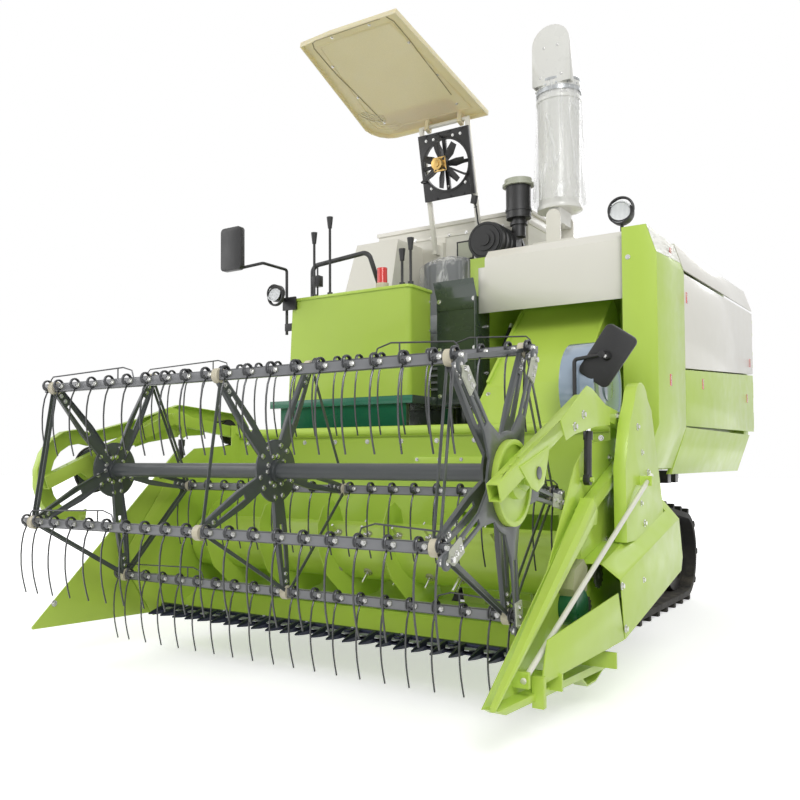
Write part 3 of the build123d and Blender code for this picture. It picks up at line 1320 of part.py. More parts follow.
# ---- out
os.makedirs("parts", exist_ok=True)
whole = Compound([solid for shape in parts.values() for solid in shape.solids()]).bounding_box()
home = Pos(-(whole.min.X + whole.max.X) / 2, -(whole.min.Y + whole.max.Y) / 2, -whole.min.Z)
print("moved by", home.position)
for name, shape in parts.items():
    export_step(home * shape, f"parts/{name}.step")
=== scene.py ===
import json
from math import copysign, cos, hypot, pi, radians, sin, sqrt
import random

import bmesh
import bpy
from mathutils.bvhtree import BVHTree
from mathutils import Matrix, Vector


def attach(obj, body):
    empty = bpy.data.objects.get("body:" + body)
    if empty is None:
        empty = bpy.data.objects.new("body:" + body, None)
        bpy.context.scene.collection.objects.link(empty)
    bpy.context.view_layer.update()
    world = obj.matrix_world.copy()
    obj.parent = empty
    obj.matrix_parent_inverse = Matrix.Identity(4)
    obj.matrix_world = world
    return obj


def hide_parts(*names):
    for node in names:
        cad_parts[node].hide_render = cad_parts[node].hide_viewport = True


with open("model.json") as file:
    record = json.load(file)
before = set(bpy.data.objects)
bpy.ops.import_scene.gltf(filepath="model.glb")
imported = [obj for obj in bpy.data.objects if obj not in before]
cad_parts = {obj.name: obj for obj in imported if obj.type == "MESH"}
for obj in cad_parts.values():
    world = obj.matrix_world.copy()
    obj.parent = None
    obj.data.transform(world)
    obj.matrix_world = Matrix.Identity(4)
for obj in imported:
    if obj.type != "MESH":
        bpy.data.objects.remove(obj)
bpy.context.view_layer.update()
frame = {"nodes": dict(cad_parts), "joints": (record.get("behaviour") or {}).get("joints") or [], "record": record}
nodes = frame["nodes"]
scene = bpy.context.scene
print("frame loaded")


# helpers for shader nodes

def setInput(tree, socket, value):  # another node's output is linked, anything else is set
    if isinstance(value, bpy.types.NodeSocket):
        tree.links.new(value, socket)
    else:
        socket.default_value = value


def addNode(tree, kind, inputs=None, **settings):
    node = tree.nodes.new("ShaderNode" + kind)
    for key, value in settings.items():
        setattr(node, key, value)
    for key, value in (inputs or {}).items():
        setInput(tree, node.inputs[key], value)
    return node


def mathOf(tree, operation, *values, clamp=False):
    return addNode(tree, "Math", dict(enumerate(values)), operation=operation, use_clamp=clamp).outputs[0]


def objectSpace(tree):
    return addNode(tree, "TexCoord").outputs["Object"]


def noiseOf(tree, scale, detail, rough=0.5, stretch=None, distortion=0):
    place = objectSpace(tree)
    if stretch:
        place = addNode(tree, "Mapping", {"Vector": place, "Scale": stretch}).outputs[0]
    return addNode(tree, "TexNoise", {"Vector": place, "Scale": scale, "Detail": detail, "Roughness": rough,
                                      "Distortion": distortion}).outputs[0]


def rangeOf(tree, value, low, high, toLow, toHigh):
    return addNode(tree, "MapRange", {
        "Value": value, "From Min": low, "From Max": high, "To Min": toLow, "To Max": toHigh}).outputs[0]


def mixOf(tree, share, first, second):
    return addNode(tree, "Mix", {0: share, 6: first, 7: second}, data_type="RGBA").outputs[2]


def bumpOf(tree, height, strength, distance):
    return addNode(tree, "Bump", {"Height": height, "Strength": strength, "Distance": distance}).outputs[0]


def feed(tree, inputs, **sockets):
    for key, socket in sockets.items():
        tree.links.new(socket, inputs[key.replace("_", " ")])


# shader groups that several materials share

def newGroup(name, inputs, outputs):
    group = bpy.data.node_groups.new(name, "ShaderNodeTree")
    for socketName, kind, default in inputs:
        socket = group.interface.new_socket(socketName, in_out="INPUT", socket_type="NodeSocket" + kind)
        socket.default_value = default
    for socketName, kind in outputs:
        group.interface.new_socket(socketName, in_out="OUTPUT", socket_type="NodeSocket" + kind)
    return group, group.nodes.new("NodeGroupInput").outputs, group.nodes.new("NodeGroupOutput").inputs


def makePaintSkin():  # sprayed paint: slow colour drift, uneven gloss and a fine peel
    group, inside, outside = newGroup("paintSkin", [
        ("Color", "Color", (0.5, 0.5, 0.5, 1)), ("Drift", "Float", 0.06),
        ("Gloss", "Float", 0.3), ("Peel", "Float", 0.05)],
        [("Color", "Color"), ("Roughness", "Float"), ("Normal", "Vector")])
    drift = mathOf(group, "SUBTRACT", noiseOf(group, 1.7, 3), 0.5)
    value = mathOf(group, "ADD", mathOf(group, "MULTIPLY", drift, inside["Drift"]), 1)
    shaded = addNode(group, "HueSaturation", {"Color": inside["Color"], "Value": value})
    patch = rangeOf(group, noiseOf(group, 11, 4), 0.3, 0.7, -0.06, 0.07)
    feed(group, outside, Color=shaded.outputs[0], Roughness=mathOf(group, "ADD", patch, inside["Gloss"]),
         Normal=bumpOf(group, noiseOf(group, 420, 2), inside["Peel"], 0.002))
    return group


def makeDustVeil():  # dust on faces that look up, thicker towards the ground
    group, inside, outside = newGroup("dustVeil", [
        ("Color", "Color", (0.5, 0.5, 0.5, 1)), ("Dust", "Color", (0.42, 0.37, 0.29, 1)),
        ("Amount", "Float", 0.3), ("Height", "Float", 0.6)], [("Color", "Color")])
    normal = addNode(group, "NewGeometry").outputs["Normal"]
    up, high = (addNode(group, "SeparateXYZ", {0: way}).outputs[2] for way in (normal, objectSpace(group)))
    low = rangeOf(group, high, 0, inside["Height"], 1, 0.15)
    upward = rangeOf(group, up, -0.2, 1, 0.25, 1)
    grain = rangeOf(group, noiseOf(group, 14, 6, 0.65), 0.35, 0.75, 0, 1)
    mask = mathOf(group, "MULTIPLY", mathOf(group, "MULTIPLY", low, upward), grain)
    mask = mathOf(group, "MULTIPLY", mask, inside["Amount"], clamp=True)
    feed(group, outside, Color=mixOf(group, mask, inside["Color"], inside["Dust"]))
    return group


def makeFineGrain():  # a moulded or cast grain, with a matching gloss
    group, inside, outside = newGroup("fineGrain", [
        ("Scale", "Float", 300), ("Strength", "Float", 0.2), ("Gloss", "Float", 0.6)],
        [("Roughness", "Float"), ("Normal", "Vector"), ("Mask", "Float")])
    noise = noiseOf(group, inside["Scale"], 3, 0.6)
    patch = rangeOf(group, noiseOf(group, 8, 4), 0.3, 0.7, -0.09, 0.09)
    feed(group, outside, Roughness=mathOf(group, "ADD", patch, inside["Gloss"]),
         Normal=bumpOf(group, noise, inside["Strength"], 0.002), Mask=noise)
    return group


paintSkin = makePaintSkin()
dustVeil = makeDustVeil()
fineGrain = makeFineGrain()


def groupIn(tree, group, **inputs):
    node = addNode(tree, "Group", node_tree=group)
    for key, value in inputs.items():
        setInput(tree, node.inputs[key.capitalize()], value)
    return node.outputs


# materials
materials = {}


def newMaterial(name, **shader):
    material = materials[name] = bpy.data.materials.new(name)
    material.use_nodes = True
    tree = material.node_tree
    inputs = tree.nodes["Principled BSDF"].inputs
    for key, value in shader.items():
        inputs[key.replace("_", " ")].default_value = value
    return tree, inputs


paints = {  # name: (colour, gloss, coat, drift, dust)
    "limePaint": ((0.49, 0.675, 0.09), 0.38, 0.18, 0.10, 0.10),
    "creamPaint": ((0.80, 0.78, 0.70), 0.34, 0.35, 0.05, 0.08),
    "darkGreenPaint": ((0.055, 0.075, 0.062), 0.25, 0.60, 0.20, 0.12),
    "blackPaint": ((0.022, 0.022, 0.024), 0.42, 0.20, 0.20, 0.30),
    "reelGrey": ((0.060, 0.068, 0.070), 0.38, 0.25, 0.16, 0.12),
    "batGrey": ((0.20, 0.205, 0.215), 0.34, 0.20, 0.18, 0.12),
    "creamTube": ((0.78, 0.78, 0.74), 0.30, 0.35, 0.05, 0.05),
    "hoodBlue": ((0.30, 0.38, 0.48), 0.16, 0.70, 0.10, 0.06),
    "seatGrey": ((0.20, 0.21, 0.22), 0.45, 0.10, 0.15, 0.10),
    "redPlastic": ((0.75, 0.03, 0.02), 0.20, 0.40, 0.05, 0.02),
}
paintCoat = {"coatRoughness": 0.08, "peel": 0.004, "dustHeight": 0.7}

for name, (color, gloss, coat, drift, dust) in paints.items():
    tree, shader = newMaterial(name, Coat_Weight=coat, Coat_Roughness=paintCoat["coatRoughness"])
    skin = groupIn(tree, paintSkin, color=(*color, 1), drift=drift, gloss=gloss, peel=paintCoat["peel"])
    veil = groupIn(tree, dustVeil, color=skin["Color"], amount=dust, height=paintCoat["dustHeight"])
    feed(tree, shader, Base_Color=veil["Color"], Roughness=skin["Roughness"], Normal=skin["Normal"])

grainy = {  # name: (colour, scale, strength, gloss, metallic, dust)
    "trackRubber": ((0.018, 0.017, 0.016), 180, 0.35, 0.78, 0, 0.30),
    "blackPlastic": ((0.020, 0.020, 0.021), 500, 0.20, 0.42, 0, 0.08),
    "fanBlack": ((0.016, 0.016, 0.017), 500, 0.15, 0.45, 0, 0.05),
    # the canopy's beige is lighter than its own colour: painted light, for the light that shines through it onto its
    # shaded underside
    "canopyBeige": ((0.90, 0.79, 0.53), 260, 0.10, 0.50, 0, 0.02),
    "castGrey": ((0.10, 0.10, 0.10), 220, 0.35, 0.55, 0.6, 0.20),
    "guardBlueBlack": ((0.035, 0.040, 0.075), 260, 0.30, 0.40, 0.7, 0.10),
    "cylinderBlack": ((0.020, 0.020, 0.022), 300, 0.10, 0.35, 0, 0.06),
    "castTan": ((0.36, 0.38, 0.20), 240, 0.30, 0.58, 0, 0.15),
    "motorBrass": ((0.60, 0.40, 0.14), 300, 0.10, 0.30, 1, 0.05),
    "zincBolt": ((0.72, 0.72, 0.70), 400, 0.08, 0.24, 1, 0.05),
    "drumGreen": ((0.010, 0.120, 0.050), 300, 0.12, 0.30, 0, 0.05),
    "clipGrey": ((0.52, 0.54, 0.43), 260, 0.05, 0.38, 0, 0.06),
    "tealPanel": ((0.020, 0.190, 0.105), 200, 0.06, 0.20, 0, 0.05),
    "nylonCream": ((0.72, 0.66, 0.50), 300, 0.10, 0.45, 0, 0.10),
    "galvanised": ((0.50, 0.52, 0.53), 120, 0.10, 0.34, 0.6, 0.03),
    "beadBrown": ((0.42, 0.36, 0.20), 300, 0.10, 0.55, 0, 0.02),
    "hoseBlack": ((0.015, 0.015, 0.016), 600, 0.20, 0.48, 0, 0.06),
    "tineSteel": ((0.095, 0.097, 0.102), 300, 0.15, 0.32, 0.7, 0.05),
    "weldLime": ((0.36, 0.50, 0.06), 160, 0.50, 0.45, 0, 0.10),
}
grainShade, grainDustHeight = 0.75, 0.5

for name, (color, scale, strength, gloss, metallic, dust) in grainy.items():
    tree, shader = newMaterial(name, Metallic=metallic)
    grain = groupIn(tree, fineGrain, scale=scale, strength=strength, gloss=gloss)
    dark = [c * grainShade for c in color] + [1]
    base = mixOf(tree, grain["Mask"], (*color, 1), dark)
    veil = groupIn(tree, dustVeil, color=base, amount=dust, height=grainDustHeight)
    feed(tree, shader, Base_Color=veil["Color"], Roughness=grain["Roughness"], Normal=grain["Normal"])

tree, shader = newMaterial("chromeRod", Metallic=1)  # ground lengthwise
scratch = noiseOf(tree, 90, 3, stretch=(1, 1, 14))
feed(tree, shader, Roughness=rangeOf(tree, scratch, 0.3, 0.7, 0.06, 0.16),
     Base_Color=mixOf(tree, scratch, (0.72, 0.72, 0.74, 1), (0.82, 0.82, 0.83, 1)))

tree, shader = newMaterial("lampGlass", Roughness=0.12, Coat_Weight=0.8)  # ribbed glass
rib = addNode(tree, "TexWave", {"Vector": objectSpace(tree), "Scale": 55}, bands_direction="X").outputs[0]
feed(tree, shader, Base_Color=mixOf(tree, rib, (0.62, 0.64, 0.66, 1), (0.85, 0.87, 0.88, 1)),
     Normal=bumpOf(tree, rib, 0.5, 0.003))

# thin packing film: nearly clear, whiter along its creases as a painted highlight on the folds, and less clear there
tree, shader = newMaterial("clearFilm", Roughness=0.14, IOR=1.45, Specular_IOR_Level=0.9)
folds = noiseOf(tree, 14, 3, 0.5, (1, 1, 0.16), 0.6)
crease = mathOf(tree, "ABSOLUTE", mathOf(tree, "SUBTRACT", folds, 0.5))
# painted highlight: the film's colour is whiter along the crease lines
creaseHighlight = rangeOf(tree, crease, 0, 0.06, 0.95, 0.80)
feed(tree, shader, Alpha=rangeOf(tree, crease, 0, 0.05, 0.58, 0.20), Normal=bumpOf(tree, folds, 0.35, 0.01),
     Base_Color=mixOf(tree, creaseHighlight, (0.70, 0.72, 0.72, 1), (0.93, 0.94, 0.94, 1)))

newMaterial("mirrorGlass", Metallic=1, Roughness=0.04, Base_Color=(0.75, 0.77, 0.78, 1))
# a little subsurface also lets real light through the thin canopy, besides the painted light in its colour
canopyShader = materials["canopyBeige"].node_tree.nodes["Principled BSDF"].inputs
for key, value in (("Weight", 0.5), ("Radius", (1, 0.8, 0.5)), ("Scale", 0.03)):
    canopyShader["Subsurface " + key].default_value = value


# every node of the frame takes its slot's material, with welded corners and small round edges
edges = {"width": 0.0016, "segments": 2, "angle": 32, "weld": 0.00002}
noBevel = ("track_left", "track_right", "auger", "cutter_bar", "track_wheels", "air_intake")


def slotMaterial(slot):  # lime_paint is limePaint
    first, *rest = slot.split("_")
    return materials[first + "".join(word.capitalize() for word in rest)]


def dressNodes():
    for row in frame["record"]["subparts"]:
        node = nodes[row["node"]]
        node.data.materials.clear()
        node.data.materials.append(slotMaterial(row["material_slot"]))
        if "custom_normal" in node.data.attributes:
            node.data.attributes.remove(node.data.attributes["custom_normal"])
        node.data.shade_smooth()
        weld = node.modifiers.new("weld", "WELD")
        weld.merge_threshold = edges["weld"]
        if row["node"] in noBevel:
            split = node.modifiers.new("edges", "EDGE_SPLIT")
            split.split_angle = radians(edges["angle"])
            continue
        bevel = node.modifiers.new("edges", "BEVEL")
        bevel.width = edges["width"]
        bevel.segments = edges["segments"]
        bevel.limit_method = "ANGLE"
        bevel.angle_limit = radians(edges["angle"])
        bevel.harden_normals = False


dressNodes()
print("materials on the frame")

# places are in millimetres from the reel's axle and the ground, as on the drawing
jointAt = {row["name"]: Vector(row["pos_m"]) for row in frame["joints"] if row.get("pos_m")}
home = Vector((jointAt["reel_spin"].x, jointAt["reel_spin"].y, 0))


def at(x, y, z):
    return home + Vector((x, y, z)) / 1000


def drawn(point):  # back from the frame to the drawing
    return (point - home) * 1000


def turns(count, closed=False):  # equal steps of a full turn
    return [2 * pi * k / count for k in range(count + closed)]


def evenly(first, last, count):
    return [Vector(first).lerp(Vector(last), i / (count - 1)) for i in range(count)]


# shapes that the pieces are put together from

def newPiece(name, shape, body, finishes, angle=35):  # finishes are in the order of the face indices
    mesh = bpy.data.meshes.new(name)
    shape.to_mesh(mesh)
    shape.free()
    mesh.shade_smooth()
    mesh.set_sharp_from_angle(angle=radians(angle))
    for finish in finishes.split():
        mesh.materials.append(materials[finish])
    piece = bpy.data.objects.new(name, mesh)
    scene.collection.objects.link(piece)
    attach(piece, body)
    return piece


def joinRings(shape, rings, index=0):
    for low, high in zip(rings, rings[1:]):
        for k in range(len(low)):
            after = (k + 1) % len(low)
            shape.faces.new((low[k], low[after], high[after], high[k])).material_index = index


def addTube(shape, points, radius, sides=6, taper=1, index=0):
    points = [Vector(p) for p in points]
    last = len(points) - 1
    side = None
    rings = []
    for i, p in enumerate(points):
        ahead = (points[min(i + 1, last)] - points[max(i - 1, 0)]).normalized()
        if side is None:
            side = ahead.orthogonal().normalized()
        side = (side - ahead * side.dot(ahead)).normalized()
        other = ahead.cross(side)
        r = radius * (1 + (taper - 1) * i / last)
        rings.append([shape.verts.new(p + (side * cos(a) + other * sin(a)) * r) for a in turns(sides)])
    joinRings(shape, rings, index)
    for ring in (rings[0][::-1], rings[-1]):
        shape.faces.new(ring).material_index = index


def facing(place, direction):  # a matrix whose Z runs along the direction
    return Matrix.Translation(place) @ Vector(direction).to_track_quat("Z", "Y").to_matrix().to_4x4()


def addDisc(shape, place, direction, radius, height, sides=16, top=None, index=0):
    made = bmesh.ops.create_cone(
        shape, cap_ends=True, segments=sides, radius1=radius, radius2=radius if top is None else top, depth=height,
        matrix=facing(place, direction) @ Matrix.Translation((0, 0, height / 2)))
    for face in {f for v in made["verts"] for f in v.link_faces}:
        face.material_index = index


def addBolt(shape, place, direction, radius, index=0):  # a hexagon head on its washer
    direction = Vector(direction).normalized()
    addDisc(shape, place, direction, radius * 1.45, radius * 0.22, 14, index=index)
    addDisc(shape, place + direction * radius * 0.2, direction, radius, radius * 0.75, 6, radius * 0.93, index=index)


def addBox(shape, low, high, soft=0, index=0):
    middle, size = (low + high) / 2, high - low
    made = bmesh.ops.create_cube(shape, size=1, matrix=Matrix.Translation(middle) @ Matrix.Diagonal((*size, 1)))
    for face in {f for v in made["verts"] for f in v.link_faces}:
        face.material_index = index
    if soft:
        rims = list(dict.fromkeys(e for v in made["verts"] for e in v.link_edges))
        bmesh.ops.bevel(shape, geom=rims, offset=soft, segments=2, profile=0.5, affect="EDGES")


def addPrism(shape, places, thick, index=0):  # an outline that is as thick as the vector; recalcNormals follows
    low = [shape.verts.new(p) for p in places]
    high = [shape.verts.new(p + Vector(thick)) for p in places]
    shape.faces.new(low).material_index = index
    shape.faces.new(high[::-1]).material_index = index
    joinRings(shape, (low, high), index)


def recalcNormals(shape):
    bmesh.ops.recalc_face_normals(shape, faces=shape.faces[:])


surfaces = {}


def touch(nodeName, start, direction):  # where a line from a place first meets a node of the frame
    if nodeName not in surfaces:
        mesh = nodes[nodeName].data
        surfaces[nodeName] = BVHTree.FromPolygons(
            [v.co for v in mesh.vertices], [p.vertices[:] for p in mesh.polygons])
    return surfaces[nodeName].ray_cast(at(*start), Vector(direction).normalized())[:2]


# second finishes on the frame's own pieces

def paintFaces(nodeName, material, test):  # the faces whose centre and normal pass the test
    mesh = nodes[nodeName].data
    mesh.materials.append(materials[material])
    for face in mesh.polygons:
        if test(face.center, face.normal):
            face.material_index = len(mesh.materials) - 1


lampSet = {"places": ((850, 1530, 2032), (-850, 1070, 1775)), "near": 75, "glass": 0.045, "rims": (0.056, 0.047)}
lampSpots = []
for lampPlace in lampSet["places"]:
    glasses = [f for f in nodes["work_lamps"].data.polygons
               if f.normal.y < -0.5 and (drawn(f.center) - Vector(lampPlace)).length < lampSet["near"]]
    glass = max(glasses, key=lambda f: f.area)
    lampSpots.append((glass.center.copy(), glass.normal.copy()))

fanHub, fanAxis, fanMotorRadius = jointAt["fan_spin"], Vector((0, -0.974, -0.2268)), 0.042
augerAt, augerTube = jointAt["auger_spin"], 0.134
gearDrum, gearDrumRadius = at(0, 330, 370), 0.066


def isFinger(p, n):
    out = Vector((0, p.y - augerAt.y, p.z - augerAt.z))
    return augerTube < out.length and abs(n.dot(out.normalized())) < 0.35 and abs(n.x) < 0.9


for nodeName, finish, test in (
        ("beacon", "nylonCream", lambda p, n: p.z < 1.792),
        ("work_lamps", "blackPlastic",
         lambda p, n: all((p - q).length > lampSet["glass"] or n.dot(m) < 0.7 for q, m in lampSpots)),
        ("fan_motor", "fanBlack", lambda p, n: (p - fanHub).cross(fanAxis).length > fanMotorRadius),
        ("auger", "zincBolt", isFinger),
        ("mirror_right", "mirrorGlass", lambda p, n: n.y > 0.9 and p.z > 1.87),
        ("mirror_left", "mirrorGlass", lambda p, n: n.y > 0.5 and n.x < -0.3 and p.z > 1.19),
        ("gear_drive", "drumGreen",
         lambda p, n: hypot(p.y - gearDrum.y, p.z - gearDrum.z) < gearDrumRadius),
        ("gear_drive", "castGrey", lambda p, n: drawn(p).x > 1016 and drawn(p).y > 420),
        ("operator_deck", "tealPanel", lambda p, n: n.y < -0.8 and drawn(p).z < 1185),
        ("air_intake", "clipGrey", lambda p, n: drawn(p).z > 2478)):
    paintFaces(nodeName, finish, test)
print("second finishes")

# bolts: name, body, node, the way they point in, radius in mm, places in mm that look onto the node
bolts = (
    ("consoleSideBolts", "machine", "console", (-1, 0, 0), 5, evenly((50, 1400, 1240), (50, 1400, 1690), 4)),
    ("shieldBolts", "machine", "side_shield", (0, 1, 0), 8,
     [(x, 1300, z) for z in (1690, 1200, 1440) for x in (-45, 150)]),
    ("shieldSideBolts", "machine", "side_shield", (-1, 0, 0), 8, evenly((400, 1570, 1200), (400, 1570, 1680), 5)),
    ("columnBolt", "machine", "corner_column", (0, 1, 0), 8, [(915, 1200, 1790)]),
    ("tankBolts", "machine", "grain_tank", (0, 1, 0), 8, evenly((-960, 2200, 2310), (10, 2200, 2310), 9)),
    ("tankSideBolts", "machine", "grain_tank", (1, 0, 0), 8, evenly((-1200, 2460, 2310), (-1200, 3440, 2310), 9)),
    ("tankLowBolts", "machine", "grain_tank", (1, 0, 0), 8, evenly((-1200, 2460, 1960), (-1200, 3440, 1960), 9)),
    ("radiatorBolts", "machine", "radiator_housing", (1, 0, 0), 7,
     evenly((-1200, 1990, 1300), (-1200, 1990, 1740), 4)),
    ("fanBolts", "machine", "fan_panel", (0, 1, 0), 6,
     [(x, 2000, 2840) for x in (-490, -440, -310, -260)]
     + [(-490, 2000, 2560), (-375, 2000, 2556), (-260, 2000, 2560)]),
    ("gearShieldBolts", "header", "drive_shields", (-1, 0, 0), 8,
     [(1300, 800, 420), (1300, 960, 900), (1300, 940, 700)]),
    ("endPlateBolts", "header", "header_pan", (-1, 0, 0), 9,
     [(1300, y, z) for y, z in ((760, 720), (820, 560), (900, 480), (470, 240), (640, 250), (860, 880))]),
    ("backWallBolts", "header", "header_pan", (0, 1, 0), 8, evenly((-930, 300, 960), (930, 300, 960), 11)),
    ("rightEndBolts", "header", "header_pan", (1, 0, 0), 9,
     [(-1300, y, z) for y, z in ((500, 260), (700, 260), (860, 420), (860, 700), (760, 560))]),
    ("feederBolts", "header", "feeder_house", (0, 1, 0), 8,
     [(330, 600, 1180), (720, 600, 1180), (330, 700, 1400), (720, 700, 1400)]),
    ("armBoltsLeft", "reel_arms", "reel_arms", (-1, 0, 0), 11,
     [(1300, 330, 985), (1300, 420, 1030), (1300, 830, 1040)]),
    ("tubeBolts", "unload_tube", "unload_tube", (0, 1, 0), 6,
     [(250, 2000, 3230), (330, 2000, 3230), (230, 2000, 3060), (350, 2000, 3060)]),
    ("canopyBolts", "canopy", "canopy", (0, 0, 1), 6,
     [(-500 + side * x, y, 2600)
      for x, y in ((250, 2080), (270, 1800), (250, 1500), (120, 1300)) for side in (-1, 1)]),
)
boltSink = 0.0005

for name, body, nodeName, way, radius, places in bolts:
    shape = bmesh.new()
    for place in places:
        spot, normal = touch(nodeName, place, way)
        if spot is None:
            print("no surface for a bolt of", name, place)
            continue
        outward = -normal if normal.dot(Vector(way)) > 0 else normal
        addBolt(shape, spot - outward * boltSink, outward, radius / 1000)
    newPiece(name, shape, body, "zincBolt")
print("bolts")

# the reel: bats with their spring tines, bearings, plates and bolts; mm, with degrees for the start
reelSet = {
    "radius": 471, "axleHeight": 830, "start": -26, "bats": 5, "reach": 950, "bar": 26,
    "spiders": (-900, 0, 900), "tinesInBay": 9, "margin": 46, "endTine": 24,
    "tineLong": 280, "tineSway": 5, "tineTaper": 0.85, "wire": 3.6,
    "coilRadius": 20, "coilTurns": 2.1, "coilWide": 14, "stepsPerTurn": 14,
    "crank": (62, 30), "ring": 962, "guards": ((925, 640), (-925, -430)), "guardWire": 2.8,
}
# a tine's bow: how far forward in mm, and its height as a share of its length
tineRun = ((7, -0.02), (14, -0.06), (27, -0.16), (35, -0.30), (38, -0.45), (37, -0.60), (31, -0.75), (22, -0.88),
           (12, -1))


def tinePlaces():
    spiders, margin, count = reelSet["spiders"], reelSet["margin"], reelSet["tinesInBay"]
    spots = [spiders[0] - reelSet["endTine"]]
    for a, b in zip(spiders, spiders[1:]):
        step = (b - a - 2 * margin) / (count - 1)
        spots += [a + margin + i * step for i in range(count)]
    return spots + [spiders[-1] + reelSet["endTine"]]


def armAngle(k):
    return radians(reelSet["start"] + 360 / reelSet["bats"] * k)


def batSpot(k):
    a = armAngle(k)
    return -reelSet["radius"] * cos(a), reelSet["axleHeight"] + reelSet["radius"] * sin(a)


def radial(x, k, out, across=0, centre=(0, 0)):  # a place on arm k of a spider or of the eccentric
    a = armAngle(k)
    y = -out * cos(a) + across * sin(a) + centre[0]
    z = reelSet["axleHeight"] + out * sin(a) + across * cos(a) + centre[1]
    return at(x, y, z)


def addTine(shape, x, y, z, chance):
    # a coil of wire at the bar's front edge, from which the tine hangs, and its clip with a bolt
    radius, wide, wire = reelSet["coilRadius"], reelSet["coilWide"], reelSet["wire"] / 1000
    steps = int(reelSet["coilTurns"] * reelSet["stepsPerTurn"])
    coil = []
    for i in range(steps + 1):
        a = radians(-60) + 2 * pi * reelSet["coilTurns"] * i / steps
        coil.append(at(x - wide / 2 + wide * i / steps, y - 17 - radius * cos(a), z + 10 + radius * sin(a)))
    addTube(shape, coil, wire)
    lean = chance.uniform(-reelSet["tineSway"], reelSet["tineSway"])
    run = [at(x - wide / 2, y - 9, z - 3)]
    run += [at(x - wide / 2 + lean * s * s, y - f, z + reelSet["tineLong"] * s) for f, s in tineRun]
    addTube(shape, run, wire, 6, reelSet["tineTaper"])
    addBox(shape, at(x + 10, y - 19, z - 6), at(x + 25, y - 12, z + 13), 0.0015, index=1)
    addBolt(shape, at(x + 18, y - 19, z + 4), (0, -1, 0.25), 0.0066, index=2)


def addWireGuard(shape, x0, x1, y, z):  # a thin wire on two short posts
    wire, way = reelSet["guardWire"] / 1000, 1 if x1 > x0 else -1
    addTube(shape, [at(x, y, z + rise) for x, rise in (
        (x0, 12), (x0, 34), (x0 + 14 * way, 47), (x1 - 60 * way, 60), (x1 - 12 * way, 46), (x1, 12))], wire)
    addTube(shape, [at(x1 - 90 * way, y, z + rise) for rise in (12, 58)], wire)
    addBolt(shape, at(x0, y, z + 12), (0, 0, 1), 0.007, index=2)


def buildBat(k):
    y, z = batSpot(k)
    half, ring = reelSet["bar"] / 2, reelSet["ring"]
    lowY, lowZ = y - reelSet["crank"][0], z - reelSet["crank"][1]
    shape = bmesh.new()
    addBox(shape, at(-reelSet["reach"], y - half, z - half - 5), at(ring - 22, y + half, z + half + 5),
           0.003, index=3)
    chance = random.Random(40 + k)
    for x in tinePlaces():
        addTine(shape, x, y, z, chance)
    outline = ((y + 12, z + 12), (lowY - 12, lowZ + 4), (lowY + 4, lowZ - 14), (y + 12, z - 12))
    addPrism(shape, [at(ring - 24, *corner) for corner in outline], (0.010, 0, 0), index=3)
    recalcNormals(shape)
    addDisc(shape, at(ring - 16, lowY, lowZ), (1, 0, 0), 0.009, 0.020, 16, index=2)
    for x0, x1 in reelSet["guards"]:
        addWireGuard(shape, x0, x1, y, z)
    piece = newPiece(f"bat{k + 1}", shape, f"bat_{k + 1}", "tineSteel clipGrey zincBolt batGrey", 40)
    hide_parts(f"reel_bat_{k + 1}")


for batNumber in range(reelSet["bats"]):
    buildBat(batNumber)
print("bats with their spring tines")

# cream bearings at the spiders' tips, with bolts at the tips and round the hubs
shape = bmesh.new()
for x in reelSet["spiders"]:
    for k in range(reelSet["bats"]):
        y, z = batSpot(k)
        addDisc(shape, at(x - 13, y, z), (1, 0, 0), 0.0268, 0.026, 24)
        addDisc(shape, at(x + 13, y, z), (1, 0, 0), 0.013, 0.005, 6, index=1)
        for out in (52, 98):
            for across in (-22, 22):
                for side in (1, -1):
                    addBolt(shape, radial(x + 4 * side, k, out, across), (side, 0, 0), 0.0075, index=2)
        for out in (398, 428):
            addBolt(shape, radial(x + 4, k, out), (1, 0, 0), 0.0065, index=2)
    addDisc(shape, at(x - 22, 0, reelSet["axleHeight"]), (1, 0, 0), 0.042, 0.044, 28, index=1)
newPiece("spiderFittings", shape, "reel", "nylonCream reelGrey zincBolt")

# grey clevis plates at the ends of the eccentric's arms
centre = [-part for part in reelSet["crank"]]
outline = ((376, -24), (376, 24), (448, 25), (470, 0), (448, -25))
shape = bmesh.new()
x = reelSet["ring"] + 4
for k in range(reelSet["bats"]):
    addPrism(shape, [radial(x, k, out, across, centre) for out, across in outline], (0.005, 0, 0))
    for out in (394, 424):
        addBolt(shape, radial(x + 5, k, out, 0, centre), (1, 0, 0), 0.0068, index=1)
    addDisc(shape, radial(x + 4, k, 455, 0, centre), (1, 0, 0), 0.009, 0.010, 16, index=1)
recalcNormals(shape)
newPiece("eccentricFittings", shape, "eccentric", "clipGrey zincBolt")
print("reel fittings")

# the knife: forged guards with their spines, sections and clips
knifeSet = {
    "front": 340, "high": 178, "pitch": 76.2, "half": 960, "long": 132, "droop": 10,
    # share of the guard's length, half width, height over and under the middle
    "guard": ((0, 15, 19, 21), (0.25, 13, 20, 20), (0.6, 8, 13, 14), (1, 2, 3, 4)),
    "section": ((-34, 0), (34, 0), (9, -52), (-9, -52)), "clipEvery": 3,
}

